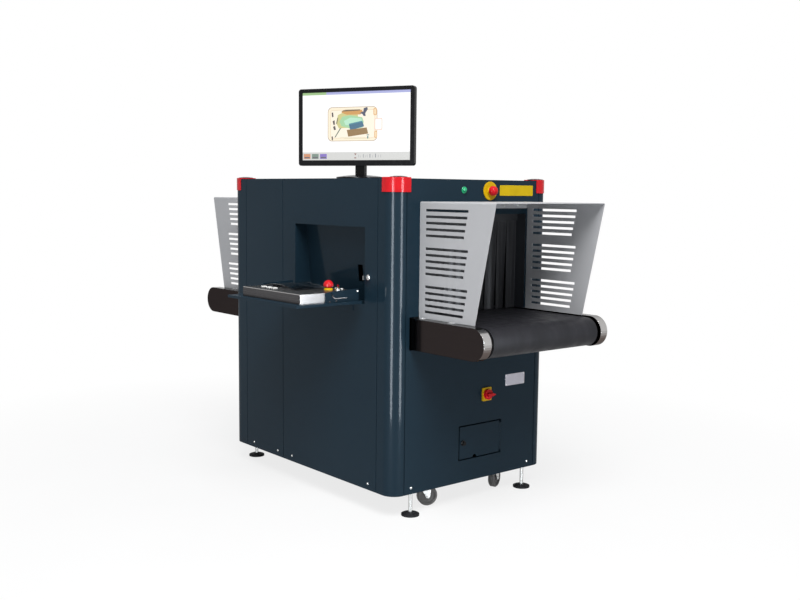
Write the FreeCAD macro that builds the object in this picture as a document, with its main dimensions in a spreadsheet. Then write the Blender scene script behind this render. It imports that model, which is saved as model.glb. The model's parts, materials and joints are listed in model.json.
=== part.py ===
import FreeCAD, Part
import os

import Sketcher

os.makedirs("parts", exist_ok=True)
doc = FreeCAD.newDocument("baggage_scanner")
sheet = doc.addObject("Spreadsheet::Sheet", "Sizes")

# Driving dimensions in millimetres and degrees. Heights in the groups that
# follow the ground clearance are measured from the cabinet's lower edge.
SIZES = {
    # cabinet shell
    "cab_length": 1045, "cab_depth": 755, "cab_height": 1090,
    "ground_clear": 80, "corner_radius": 50, "skin": 2, "roof_skin": 3,
    "seam": 3, "fold_depth": 18,
    "column_left": 103.5, "column_right": 87.5, "column_side": 55, "service_width": 268,
    # base pan and welded inner frame
    "pan_drop": 25, "pan_height": 40, "post_width": 40, "ring_height": 30,
    # conveyor
    "rail_reach": 358.5, "side_room": 75.5, "rail_width": 34, "rail_bottom": 509, "rail_height": 107,
    "belt_thick": 3, "belt_inset": 4, "belt_gap": 14.5, "bed_thick": 6, "shaft_radius": 10,
    "rail_gap": 4,
    # tunnel and curtains
    "liner_inset": 13, "lintel": 122, "liner_thick": 5, "liner_foot": 22,
    "curtain_inset": 46, "strip_count": 10, "strip_gap": 1, "strip_thick": 3, "strip_clear": 3,
    "bar_height": 26, "bar_thick": 4,
    # hoods
    "hood_inset": 4, "hood_skin": 2, "hood_over": 44.5, "hood_reach": 361, "hood_foot": 275,
    "hood_bend": 5, "hood_flange": 22, "slot_start": 29, "slot_long": 208, "slot_step": 4.8,
    "slot_height": 8.8, "slot_drop": 24.3, "slot_pitch": 21.3, "group_pitch": 129.2,
    "slot_rows": 5, "slot_groups": 3,
    "tab_width": 18, "tab_reach": 16, "tab_near": 20, "tab_far": 165,
    # corner caps
    "cap_drop": 46, "cap_wall": 3, "cap_front": 63.5, "cap_side": 70, "cap_rise": 4, "cap_round": 2.5,
    "plug_in_x": 31, "plug_in_y": 43, "plug_radius": 30, "plug_edge": 1.5, "plug_rise": 4,
    "plug_crown": 12,
    # console recess and folding shelf
    "recess_margin": 158.5, "recess_width": 430, "recess_drop": 168, "recess_height": 267,
    "recess_deep": 76, "recess_shallow": 49, "recess_rim": 12,
    "latch_slot_in": 307, "latch_slot_width": 29, "latch_slot_up": 69, "latch_slot_height": 60,
    "hinge_out": 12, "hinge_up": 7, "knuckle_radius": 5, "pin_radius": 2.5, "pin_clear": 0.05,
    "hinge_leaf": 30, "knuckle_long": 60, "knuckle_gap": 0.5,
    "shelf_over": 6, "shelf_width": 444, "shelf_depth": 276, "shelf_thick": 4, "shelf_lip": 5,
    "shelf_lip_wall": 2, "shelf_rise": 1,
    "case_in": 54, "case_width": 364, "case_depth": 240, "case_height": 34, "case_start": 8,
    "case_edge": 3,
    "cheek_in": 10, "cheek_thick": 4, "cheek_long": 140, "cheek_height": 42, "cheek_gap": 1,
    "stay_slot": 4, "stay_drop": 8,
    "key_size": 13, "key_pitch": 17, "key_height": 3.5, "key_columns": 10, "key_rows": 4,
    "cover_wide": 212, "cover_deep": 128, "cover_rise": 15, "cover_wall": 1.5, "cover_in": 124,
    "cover_out": 118,
    "stop_in": 88, "stop_out": 70, "switch_key_in": 64, "switch_key_out": 46,
    "white_key_in": 50, "white_key_step": 34, "white_key_out": 196, "white_key_wide": 15,
    "button_in": 102, "button_step": 24, "button_out": 23,
    # emergency stops
    "stop_collar_radius": 15, "stop_collar_height": 7, "stop_head_radius": 17.5, "stop_stem_radius": 9,
    "stop_head_height": 22, "stop_lift": 8, "stop_travel": 4, "stop_rim": 8, "stop_clear": 0.3,
    "legend_radius": 33, "legend_height": 3, "end_stop_y": 65, "end_stop_drop": 39,
    # end face fittings
    "lamp_y": -62, "lamp_drop": 37, "lamp_radius": 8, "lamp_ring": 12,
    "switch_y": 65.5, "switch_z": 311.5, "switch_wide": 44, "switch_high": 49, "switch_thick": 6,
    "dial_radius": 19, "dial_height": 10, "grip_long": 25, "grip_height": 12, "grip_width": 11, "grip_turn": 90,
    "lock_out": 22, "lock_up": 95, "lock_radius": 10,
    # service hatch
    "hatch_left": -68, "hatch_right": 142, "hatch_bottom": 80, "hatch_top": 208, "hatch_gap": 5,
    "hatch_thick": 3, "hatch_box_depth": 85, "hatch_pin_offset": 5, "hatch_knuckle": 3.5,
    "hatch_pin": 1.5, "hatch_knuckle_long": 34, "hatch_lip": 6,
    "knob_y": -47, "knob_z": 144, "knob_radius": 10, "knob_height": 10, "notch_y": 12, "notch_radius": 10,
    # feet
    "foot_in_x": 15.5, "foot_in_y": 97.5, "pad_radius": 32, "pad_height": 13, "stud_radius": 7,
    "bracket_thick": 8, "bracket_half": 26, "nut_radius": 12, "nut_height": 10,
    # casters
    "caster_in_x": 70.5, "caster_in_y": 199.5, "wheel_radius": 36.5, "wheel_width": 23, "wheel_lift": 2,
    "trail": 18, "fork_plate": 4, "fork_wall": 2.5, "fork_gap": 2, "axle_radius": 4, "axle_clear": 0.05,
    "top_plate": 5, "top_plate_half": 33, "race_radius": 22, "race_height": 7, "race_gap": 0.4,
    "kingpin_radius": 6,
    # monitor
    "monitor_in_x": 328.5, "monitor_in_y": 83.5, "monitor_up": 188, "monitor_yaw": 25.8,
    "screen_wide": 433, "screen_high": 243.5, "screen_thick": 1.5, "bezel_side": 16, "bezel_top": 14,
    "bezel_bottom": 20, "bezel_lip": 2, "housing_thick": 18, "bezel_round": 10,
    "bulge_wide": 190, "bulge_high": 120, "bulge_deep": 12, "bulge_taper": 18,
    "tilt_back": 50, "tilt_drop": 38, "lug_radius": 10, "lug_thick": 14, "tongue_half": 11.5,
    "lug_gap": 0.5, "tilt_pin": 4, "neck_wide": 37, "neck_deep": 20, "neck_gap": 9,
    "stand_radius": 90, "stand_edge": 6, "stand_rise": 14,
}
for row, (alias, value) in enumerate(SIZES.items(), start=1):
    sheet.set("A%d" % row, alias)
    sheet.set("B%d" % row, str(value))
    sheet.setAlias("B%d" % row, alias)
doc.recompute()


class Size:
    """A length that knows its present value and the sheet expression behind it."""

    def __init__(self, value, text):
        self.value = float(value)
        self.text = text

    def join(self, other, sign, value):
        return Size(value, "(%s %s %s)" % (self.text, sign, other.text))

    def __add__(self, other):
        other = as_size(other)
        return self.join(other, "+", self.value + other.value)

    def __sub__(self, other):
        other = as_size(other)
        return self.join(other, "-", self.value - other.value)

    def __mul__(self, other):
        other = as_size(other)
        return self.join(other, "*", self.value * other.value)

    def __truediv__(self, other):
        other = as_size(other)
        return self.join(other, "/", self.value / other.value)

    def __radd__(self, other):
        return as_size(other) + self

    def __rsub__(self, other):
        return as_size(other) - self

    def __rmul__(self, other):
        return as_size(other) * self

    def __neg__(self):
        return as_size(0) - self


def as_size(number):
    if isinstance(number, Size):
        return number
    return Size(number, repr(float(number)))


def cell(alias):
    return Size(sheet.get(alias), "Sizes." + alias)


class Sizes:
    """Attribute access to the sheet: S.skin is the cell with the alias skin."""

    def __getattr__(self, alias):
        return cell(alias)


S = Sizes()
ZERO = as_size(0)

# Derived planes that several pieces share
half_length = S.cab_length / 2
half_depth = S.cab_depth / 2
cab_floor = S.ground_clear
roof_under = cab_floor + S.cab_height - S.roof_skin
cab_top = cab_floor + S.cab_height
recess_right = half_length - S.recess_margin
recess_left = recess_right - S.recess_width
recess_top = cab_top - S.recess_drop
recess_floor = recess_top - S.recess_height
shelf_axis_y = -half_depth - S.hinge_out
shelf_axis_z = recess_floor + S.hinge_up
# the shelf reaches furthest forward and the caps furthest back: the box is centred between them
front_reach = S.shelf_depth + S.hinge_out + half_depth
cab_y = (front_reach - half_depth - S.cap_wall) / 2
rail_outer = half_depth - S.side_room
rail_inner = rail_outer - S.rail_width
rail_floor = cab_floor + S.rail_bottom
rail_radius = S.rail_height / 2
rail_axis = rail_floor + rail_radius
rail_top = rail_floor + S.rail_height
drum_x = half_length + S.rail_reach - rail_radius
belt_radius = rail_radius - S.belt_inset
belt_top = rail_axis + belt_radius
belt_half = rail_inner - S.belt_gap
tunnel_half = rail_inner - S.liner_inset
tunnel_top = cab_top - S.lintel
hood_half = rail_inner - S.hood_inset
hood_top = tunnel_top + S.hood_over
foot_x = half_length - S.foot_in_x
foot_y = half_depth - S.foot_in_y
pan_floor = cab_floor + S.pan_drop
pan_top = pan_floor + S.pan_height
frame_x = half_length - S.fold_depth
frame_y = half_depth - S.fold_depth
seam_half = S.seam / 2
NODES = []
CUTS = []


def bind(thing, path, size):
    thing.setExpression(path, as_size(size).text)


def place(thing, x=ZERO, y=ZERO, z=ZERO):
    """Put a finished sub-part in the shared frame and note it as a node."""
    bind(thing, "Placement.Base.x", x)
    bind(thing, "Placement.Base.y", y + cab_y)
    bind(thing, "Placement.Base.z", z)
    NODES.append(thing)
    return thing


def new_body(label):
    body = doc.addObject("PartDesign::Body", label)
    body.Label = label
    body.AllowCompound = True
    return body


def plane(body, role):
    for feature in body.Origin.OriginFeatures:
        if feature.Role == role:
            return feature


def sketch(body, role, offset=ZERO):
    """A sketch on one of the body's own planes, moved along the plane's normal.

    XY looks down +Z, XZ has its normal along -Y and YZ has its normal along +X."""
    made = body.newObject("Sketcher::SketchObject", body.Label + "_sketch")
    made.AttachmentSupport = [(plane(body, role), "")]
    made.MapMode = "FlatFace"
    bind(made, "AttachmentOffset.Base.z", offset)
    return made


def fix(made, kind, element, position, size):
    index = made.addConstraint(Sketcher.Constraint(kind, element, position, as_size(size).value))
    name = "d%d" % index
    made.renameConstraint(index, name)
    bind(made, "Constraints." + name, size)


def outline(made, points):
    """Closed outline. A point is (x, y), or (x, y, cx, cy, turn) where an arc with
    that centre leads to it, turn being 1 counter-clockwise and -1 clockwise."""
    count = len(points)
    ends = []
    for index in range(count):
        before = points[index - 1]
        here = points[index]
        p0 = FreeCAD.Vector(as_size(before[0]).value, as_size(before[1]).value, 0)
        p1 = FreeCAD.Vector(as_size(here[0]).value, as_size(here[1]).value, 0)
        if len(here) == 2:
            element = made.addGeometry(Part.LineSegment(p0, p1), False)
            ends.append((element, 1, 2))
            continue
        centre = FreeCAD.Vector(as_size(here[2]).value, as_size(here[3]).value, 0)
        circle = Part.Circle(centre, FreeCAD.Vector(0, 0, 1), (p0 - centre).Length)
        first, last = (p0, p1) if here[4] > 0 else (p1, p0)
        arc = Part.ArcOfCircle(circle, circle.parameter(first), circle.parameter(last))
        element = made.addGeometry(arc, False)
        ends.append((element, 1, 2) if here[4] > 0 else (element, 2, 1))
    for index in range(count):
        element, begin, end = ends[index]
        follower = ends[(index + 1) % count]
        made.addConstraint(Sketcher.Constraint("Coincident", element, end, follower[0], follower[1]))
        fix(made, "DistanceX", element, end, points[index][0])
        fix(made, "DistanceY", element, end, points[index][1])
        if len(points[index]) > 2:
            level = abs(as_size(points[index][1] - points[index - 1][1]).value) < 1e-6
            if level:
                fix(made, "DistanceY", element, 3, points[index][3])
            else:
                fix(made, "DistanceX", element, 3, points[index][2])
    return made


def rectangle(made, x0, x1, y0, y1):
    return outline(made, [(x0, y0), (x1, y0), (x1, y1), (x0, y1)])


def round_rectangle(made, x0, x1, y0, y1, radius):
    return outline(made, [
        (x1 - radius, y0), (x1, y0 + radius, x1 - radius, y0 + radius, 1),
        (x1, y1 - radius), (x1 - radius, y1, x1 - radius, y1 - radius, 1),
        (x0 + radius, y1), (x0, y1 - radius, x0 + radius, y1 - radius, 1),
        (x0, y0 + radius), (x0 + radius, y0, x0 + radius, y0 + radius, 1)])


def racetrack(made, x, y, radius):
    return outline(made, [(x, y - radius), (x, y + radius, x, y, 1), (-x, y + radius), (-x, y - radius, -x, y, 1)])


def circle(made, x, y, radius):
    centre = FreeCAD.Vector(as_size(x).value, as_size(y).value, 0)
    element = made.addGeometry(Part.Circle(centre, FreeCAD.Vector(0, 0, 1), as_size(radius).value), False)
    fix(made, "DistanceX", element, 3, x)
    fix(made, "DistanceY", element, 3, y)
    index = made.addConstraint(Sketcher.Constraint("Radius", element, as_size(radius).value))
    made.renameConstraint(index, "d%d" % index)
    bind(made, "Constraints.d%d" % index, radius)
    return made


def pad(body, made, length, middle=False):
    feature = body.newObject("PartDesign::Pad", body.Label + "_pad")
    feature.Profile = made
    feature.Midplane = middle
    bind(feature, "Length", length)
    body.Tip = feature
    return feature


def pocket(body, made, length, middle=False):
    """Cut along the sketch's normal."""
    feature = body.newObject("PartDesign::Pocket", body.Label + "_pocket")
    feature.Profile = made
    feature.Reversed = True
    feature.Midplane = middle
    bind(feature, "Length", length)
    body.Tip = feature
    CUTS.append(feature)
    return feature


def revolve(body, made, axis="V_Axis"):
    feature = body.newObject("PartDesign::Revolution", body.Label + "_revolution")
    feature.Profile = made
    feature.ReferenceAxis = (made, [axis])
    feature.Angle = 360
    body.Tip = feature
    return feature


def repeat(body, features, made, axis, pitch, count):
    feature = body.newObject("PartDesign::LinearPattern", body.Label + "_pattern")
    feature.Originals = features
    feature.Direction = (made, [axis])
    bind(feature, "Length", pitch * (count - 1))
    bind(feature, "Occurrences", count)
    body.Tip = feature
    return feature


def block(name, x0, x1, y0, y1, z0, z1):
    box = doc.addObject("Part::Box", name)
    bind(box, "Length", x1 - x0)
    bind(box, "Width", y1 - y0)
    bind(box, "Height", z1 - z0)
    bind(box, "Placement.Base.x", x0)
    bind(box, "Placement.Base.y", y0)
    bind(box, "Placement.Base.z", z0)
    return box


def fuse(label, pieces):
    fused = doc.addObject("Part::MultiFuse", label)
    fused.Label = label
    fused.Shapes = pieces
    fused.Refine = True
    return fused


def compound(label, pieces):
    group = doc.addObject("Part::Compound", label)
    group.Label = label
    group.Links = pieces
    return group


def mirror(name, source, normal):
    made = doc.addObject("Part::Mirroring", name)
    made.Source = source
    made.Normal = FreeCAD.Vector(*normal)
    return made


def four_corners(label, source):
    """The piece at +X -Y and its three mirror images."""
    left = mirror(label + "_left", source, (1, 0, 0))
    rear = mirror(label + "_rear", source, (0, 1, 0))
    rear_left = mirror(label + "_rear_left", rear, (1, 0, 0))
    return compound(label, [source, left, rear, rear_left])


# Cabinet shell: folded sheet columns and panels on the inner frame
def column(name, front_width):
    """Folded column with the rounded corner, drawn at the +X -Y corner."""
    body = new_body(name)
    made = sketch(body, "XY_Plane", cab_floor)
    left = half_length - front_width + seam_half
    end = S.column_side - half_depth - seam_half
    bend_x = half_length - S.corner_radius
    bend_y = S.corner_radius - half_depth
    outline(made, [
        (left, -half_depth), (bend_x, -half_depth),
        (half_length, bend_y, bend_x, bend_y, 1),
        (half_length, end), (frame_x, end), (frame_x, end - S.skin),
        (half_length - S.skin, end - S.skin), (half_length - S.skin, bend_y),
        (bend_x, S.skin - half_depth, bend_x, bend_y, -1),
        (left + S.skin, S.skin - half_depth), (left + S.skin, -frame_y), (left, -frame_y)])
    pad(body, made, roof_under - cab_floor)
    return body


def corner_columns():
    right = column("right_column", S.column_right)
    left = column("left_column", S.column_left)
    pieces = [right, mirror("rear_right_column", right, (0, 1, 0))]
    front_left = mirror("front_left_column", left, (1, 0, 0))
    pieces += [front_left, mirror("rear_left_column", front_left, (0, 1, 0))]
    place(compound("corner_columns", pieces))


def tray_outline(made, start, end, face, inside):
    """C section of a panel seen from above: the face and its two folded edges."""
    inner = face + S.skin if inside.value > face.value else face - S.skin
    return outline(made, [
        (start, face), (end, face), (end, inside), (end - S.skin, inside), (end - S.skin, inner),
        (start + S.skin, inner), (start + S.skin, inside), (start, inside)])


def side_panel(label, start, end, face, inside):
    body = new_body(label)
    made = sketch(body, "XY_Plane", cab_floor)
    tray_outline(made, start, end, face, inside)
    pad(body, made, roof_under - cab_floor)
    return body


def long_side_panels():
    column_end = S.column_left - half_length
    seam_x = column_end + S.service_width
    right_end = half_length - S.column_right
    place(side_panel("front_service_panel", column_end + seam_half, seam_x - seam_half,
                     -half_depth, -frame_y))
    main = side_panel("front_main_panel", seam_x + seam_half, right_end - seam_half,
                      -half_depth, -frame_y)
    window = sketch(main, "XZ_Plane", half_depth - S.skin * 2)
    rectangle(window, recess_left, recess_right, recess_floor, recess_top)
    pocket(main, window, S.skin * 3)
    place(main)
    place(side_panel("rear_service_panel", column_end + seam_half, seam_x - seam_half,
                     half_depth, frame_y))
    place(side_panel("rear_main_panel", seam_x + seam_half, right_end - seam_half,
                     half_depth, frame_y))


def end_panel(label):
    """End panel at +X with the tunnel mouth and the wider gap for the conveyor."""
    body = new_body(label)
    edge = half_depth - S.column_side - seam_half
    inner = half_length - S.skin
    made = sketch(body, "XY_Plane", cab_floor)
    outline(made, [
        (frame_x, -edge), (half_length, -edge), (half_length, edge), (frame_x, edge),
        (frame_x, edge - S.skin), (inner, edge - S.skin), (inner, S.skin - edge), (frame_x, S.skin - edge)])
    pad(body, made, roof_under - cab_floor)
    mouth = sketch(body, "YZ_Plane", inner - S.skin)
    wide = rail_outer + S.rail_gap
    low = rail_floor - S.rail_gap
    step = rail_top + S.rail_gap
    outline(mouth, [
        (-wide, low), (wide, low), (wide, step), (tunnel_half, step),
        (tunnel_half, tunnel_top), (-tunnel_half, tunnel_top),
        (-tunnel_half, step), (-wide, step)])
    pocket(body, mouth, S.skin * 3)
    return body


def end_panels():
    entry = end_panel("entry_panel_half")
    flipped = mirror("entry_end_panel", entry, (1, 0, 0))
    flipped.Label = "entry_end_panel"
    place(flipped)
    far = end_panel("exit_end_panel")
    cutout = sketch(far, "YZ_Plane", half_length - S.skin * 2)
    rectangle(cutout, S.hatch_left, S.hatch_right + S.hatch_gap, cab_floor + S.hatch_bottom,
              cab_floor + S.hatch_top)
    pocket(far, cutout, S.skin * 3)
    place(far)


def roof_panel():
    body = new_body("roof_panel")
    made = sketch(body, "XY_Plane", roof_under)
    round_rectangle(made, -half_length, half_length, -half_depth, half_depth, S.corner_radius)
    pad(body, made, S.roof_skin)
    place(body)


def corner_caps():
    """Moulded caps hooked over the four upper corners."""
    body = new_body("corner_cap")
    made = sketch(body, "XY_Plane", cab_top - S.cap_drop)
    out_x = half_length + S.cap_wall
    out_y = half_depth + S.cap_wall
    radius = S.corner_radius + S.cap_wall
    left = half_length - S.cap_front
    end = S.cap_side - half_depth
    outline(made, [
        (left, -out_y), (out_x - radius, -out_y),
        (out_x, radius - out_y, out_x - radius, radius - out_y, 1), (out_x, end), (left, end)])
    solid = pad(body, made, S.cap_drop + S.cap_rise)
    doc.recompute()
    rounded = body.newObject("PartDesign::Fillet", "corner_cap_fillet")
    upper = (cab_top + S.cap_rise).value
    edges = []
    for number, edge in enumerate(solid.Shape.Edges, start=1):
        box = edge.BoundBox
        inner_edge = abs(box.XMax - left.value) < 1 or abs(box.YMin - end.value) < 1
        if abs(box.ZMin - upper) < 0.01 and not inner_edge:
            edges.append("Edge%d" % number)
    rounded.Base = (solid, edges)
    bind(rounded, "Radius", S.cap_round)
    body.Tip = rounded
    hollow = sketch(body, "XY_Plane", cab_top - S.cap_drop)
    outline(hollow, [
        (left - S.cap_wall, -half_depth), (half_length - S.corner_radius, -half_depth),
        (half_length, S.corner_radius - half_depth, half_length - S.corner_radius,
         S.corner_radius - half_depth, 1),
        (half_length, end + S.cap_wall), (left - S.cap_wall, end + S.cap_wall)])
    pocket(body, hollow, S.cap_drop)
    place(four_corners("corner_caps", body))


def cap_plugs():
    """Low crowned plug on each cap."""
    body = new_body("cap_plug")
    made = sketch(body, "XZ_Plane")
    radius = S.plug_radius
    outline(made, [(0, 0), (radius, 0), (radius, S.plug_edge), (S.plug_crown, S.plug_rise), (0, S.plug_rise)])
    revolve(body, made)
    bind(body, "Placement.Base.x", half_length - S.plug_in_x)
    bind(body, "Placement.Base.y", S.plug_in_y - half_depth)
    bind(body, "Placement.Base.z", cab_top + S.cap_rise)
    place(four_corners("cap_plugs", body))


def base_pan():
    body = new_body("base_pan")
    made = sketch(body, "XY_Plane", pan_floor)
    rectangle(made, -frame_x, frame_x, -frame_y, frame_y)
    pad(body, made, S.pan_height)
    for sign_x in (-1, 1):
        for sign_y in (-1, 1):
            bracket = sketch(body, "XY_Plane", pan_floor - S.bracket_thick)
            outer = sign_x * (half_length - S.skin * 2)
            inner = sign_x * (foot_x - S.bracket_half * 2)
            low, high = (inner, outer) if sign_x > 0 else (outer, inner)
            middle = sign_y * foot_y
            rectangle(bracket, low, high, middle - S.bracket_half, middle + S.bracket_half)
            pad(body, bracket, S.bracket_thick)
            hole = sketch(body, "XY_Plane", pan_floor - S.bracket_thick)
            circle(hole, sign_x * foot_x, middle, S.stud_radius + S.pin_clear)
            pocket(body, hole, S.bracket_thick + S.nut_height)
    place(body)


def inner_frame():
    """Welded posts, upper ring and the cross beams that carry the conveyor."""
    pieces = []
    inner_x = frame_x - S.post_width
    inner_y = frame_y - S.post_width
    for index, (sign_x, sign_y) in enumerate(((-1, -1), (1, -1), (1, 1), (-1, 1))):
        x0 = inner_x if sign_x > 0 else -frame_x
        y0 = inner_y if sign_y > 0 else -frame_y
        pieces.append(block("post_%d" % index, x0, x0 + S.post_width, y0, y0 + S.post_width,
                            pan_top, roof_under))
    ring_floor = roof_under - S.ring_height
    for name, low in (("left", -frame_x), ("right", inner_x)):
        pieces.append(block("ring_" + name, low, low + S.post_width, -inner_y, inner_y,
                            ring_floor, roof_under))
        pieces.append(block("beam_" + name, low, low + S.post_width, -inner_y, inner_y,
                            rail_floor - S.post_width, rail_floor))
    for name, low in (("front", -frame_y), ("rear", inner_y)):
        pieces.append(block("ring_" + name, -inner_x, inner_x, low, low + S.post_width,
                            ring_floor, roof_under))
    place(fuse("inner_frame", pieces))


# Conveyor
def conveyor_rails():
    for label, start in (("front_conveyor_rail", rail_inner), ("rear_conveyor_rail", -rail_outer)):
        body = new_body(label)
        made = sketch(body, "XZ_Plane", start)
        racetrack(made, drum_x, rail_axis, rail_radius)
        pad(body, made, rail_outer - rail_inner)
        for side in (-1, 1):
            bearing = sketch(body, "XZ_Plane", start)
            circle(bearing, side * drum_x, rail_axis, S.shaft_radius + S.pin_clear)
            pocket(body, bearing, rail_outer - rail_inner, False)
            cap = sketch(body, "XZ_Plane", rail_outer - S.hood_skin if start.value > 0 else start)
            circle(cap, side * drum_x, rail_axis, S.shaft_radius + S.hood_skin)
            pad(body, cap, S.hood_skin)
        place(body)


def conveyor_bed():
    under = belt_top - S.belt_thick
    end = drum_x - rail_radius
    plate = block("conveyor_bed", -end, end, -rail_inner, rail_inner, under - S.bed_thick, under)
    place(plate, -end, -rail_inner, under - S.bed_thick)


def conveyor_belt():
    body = new_body("conveyor_belt")
    racetrack(sketch(body, "XZ_Plane"), drum_x, rail_axis, belt_radius)
    pad(body, body.Group[-1], belt_half * 2, True)
    inside = sketch(body, "XZ_Plane")
    racetrack(inside, drum_x, rail_axis, belt_radius - S.belt_thick)
    pocket(body, inside, belt_half * 2, True)
    place(body)


def end_rollers():
    body = new_body("end_roller")
    made = sketch(body, "XZ_Plane")
    circle(made, drum_x, rail_axis, belt_radius - S.belt_thick)
    pad(body, made, belt_half * 2, True)
    shaft = sketch(body, "XZ_Plane")
    circle(shaft, drum_x, rail_axis, S.shaft_radius)
    pad(body, shaft, (rail_outer - S.hood_skin * 2) * 2, True)
    place(compound("end_rollers", [body, mirror("entry_roller", body, (1, 0, 0))]))


# Tunnel
def tunnel_liner():
    body = new_body("tunnel_liner")
    end = half_length - S.skin
    made = sketch(body, "YZ_Plane", -end)
    inner = tunnel_half
    outer = inner + S.liner_thick
    foot = outer + S.liner_foot
    top = tunnel_top
    outline(made, [
        (-foot, rail_top), (-inner, rail_top), (-inner, top), (inner, top), (inner, rail_top),
        (foot, rail_top), (foot, rail_top + S.skin), (outer, rail_top + S.skin),
        (outer, top + S.liner_thick), (-outer, top + S.liner_thick), (-outer, rail_top + S.skin),
        (-foot, rail_top + S.skin)])
    pad(body, made, end * 2)
    place(body)


def curtain(label, sign):
    """Lead rubber strips side by side across the tunnel."""
    body = new_body(label)
    width = (tunnel_half * 2 - S.strip_gap) / S.strip_count
    face = half_length - S.curtain_inset
    start = face - S.strip_thick if sign > 0 else -face
    made = sketch(body, "YZ_Plane", start)
    rectangle(made, S.strip_gap - tunnel_half, width - tunnel_half,
              belt_top + S.strip_clear, tunnel_top)
    first = pad(body, made, S.strip_thick)
    repeat(body, [first], made, "H_Axis", width, S.strip_count)
    place(body)


def curtain_bars():
    """Clamp bars that hold the strips under the tunnel roof."""
    pieces = []
    top = tunnel_top
    face = half_length - S.curtain_inset
    for name, low in (("exit", face), ("entry", -face - S.bar_thick)):
        pieces.append(block(name + "_bar", low, low + S.bar_thick, S.strip_gap - tunnel_half,
                            tunnel_half - S.strip_gap, top - S.bar_height, top))
    place(compound("curtain_bars", pieces))


# Hoods: one bent sheet each, with three groups of five slots in both sides
def hood(label):
    body = new_body(label)
    outer = hood_half
    inner = outer - S.hood_skin
    top = hood_top
    under = top - S.hood_skin
    bend = S.hood_bend
    small = bend - S.hood_skin
    made = sketch(body, "YZ_Plane", half_length)
    outline(made, [
        (-outer, rail_top), (-inner, rail_top), (-inner, under - small),
        (small - inner, under, small - inner, under - small, -1), (inner - small, under),
        (inner, under - small, inner - small, under - small, -1), (inner, rail_top),
        (outer, rail_top), (outer, top - bend), (outer - bend, top, outer - bend, top - bend, 1),
        (bend - outer, top), (-outer, top - bend, bend - outer, top - bend, 1)])
    pad(body, made, S.hood_reach)
    flange = sketch(body, "YZ_Plane", half_length)
    rectangle(flange, small - inner, inner - small, under - S.hood_flange, under)
    pad(body, flange, S.hood_skin)
    trim = sketch(body, "XZ_Plane")
    reach = half_length + S.hood_reach
    slope_start = top - bend
    outline(trim, [
        (half_length + S.hood_foot, rail_top), (reach, slope_start),
        (reach + bend, slope_start), (reach + bend, rail_top - bend), (half_length + S.hood_foot, rail_top - bend)])
    pocket(body, trim, hood_half * 2 + bend, True)
    rows = sketch(body, "XZ_Plane")
    for row in range(int(S.slot_rows.value)):
        high = hood_top - S.slot_drop - S.slot_pitch * row
        start = half_length + S.slot_start
        rectangle(rows, start, start + S.slot_long - S.slot_step * row, high - S.slot_height, high)
    first = pocket(body, rows, hood_half * 2 + bend, True)
    down = body.newObject("PartDesign::LinearPattern", label + "_groups")
    down.Originals = [first]
    down.Direction = (rows, ["V_Axis"])
    down.Reversed = True
    bind(down, "Length", S.group_pitch * (S.slot_groups - 1))
    bind(down, "Occurrences", S.slot_groups)
    body.Tip = down
    for offset in (S.tab_near, S.tab_far):
        for side in (-1, 1):
            tab = sketch(body, "XY_Plane", rail_top)
            low, high = (inner, outer + S.tab_reach) if side > 0 else (-outer - S.tab_reach, -inner)
            rectangle(tab, half_length + offset, half_length + offset + S.tab_width, low, high)
            pad(body, tab, S.hood_skin)
    return body


def hoods():
    place(hood("exit_hood"))
    entry = mirror("entry_hood", hood("entry_hood_half"), (1, 0, 0))
    entry.Label = "entry_hood"
    place(entry)


# Console recess and the shelf that folds up into it
def console_recess():
    body = new_body("console_recess")
    inner_face = half_depth - S.skin
    left = recess_left
    rim = sketch(body, "XZ_Plane", inner_face - S.skin)
    rectangle(rim, left - S.recess_rim, recess_right + S.recess_rim, recess_floor - S.recess_rim,
              recess_top + S.recess_rim)
    pad(body, rim, S.skin)
    shell = sketch(body, "YZ_Plane", left - S.skin)
    outline(shell, [
        (-inner_face, recess_floor - S.skin), (S.recess_deep + S.skin - half_depth, recess_floor - S.skin),
        (S.recess_shallow + S.skin - half_depth, recess_top + S.skin), (-inner_face, recess_top + S.skin)])
    pad(body, shell, S.recess_width + S.skin * 2)
    hollow = sketch(body, "YZ_Plane", left)
    outline(hollow, [
        (-half_depth, recess_floor), (S.recess_deep - half_depth, recess_floor),
        (S.recess_shallow - half_depth, recess_top), (-half_depth, recess_top)])
    pocket(body, hollow, S.recess_width)
    slot = sketch(body, "XZ_Plane", half_depth - S.recess_deep - S.skin * 2)
    slot_x = left + S.latch_slot_in
    slot_z = recess_floor + S.latch_slot_up
    rectangle(slot, slot_x, slot_x + S.latch_slot_width, slot_z, slot_z + S.latch_slot_height)
    pocket(body, slot, S.recess_deep)
    place(body)


def knuckle(name, x, length, radius):
    made = doc.addObject("Part::Cylinder", name)
    bind(made, "Radius", radius)
    bind(made, "Height", length)
    made.Placement.Rotation = FreeCAD.Rotation(FreeCAD.Vector(0, 1, 0), 90)
    bind(made, "Placement.Base.x", x)
    bind(made, "Placement.Base.y", shelf_axis_y)
    bind(made, "Placement.Base.z", shelf_axis_z)
    return made


def cut(label, base, tool):
    made = doc.addObject("Part::Cut", label)
    made.Label = label
    made.Base = base
    made.Tool = tool
    made.Refine = True
    return made


shelf_top = shelf_axis_z + S.knuckle_radius + S.shelf_rise
hinge_count = 5
hinge_long = S.knuckle_long * hinge_count
hinge_left = recess_left + (S.recess_width - hinge_long) / 2


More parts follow.
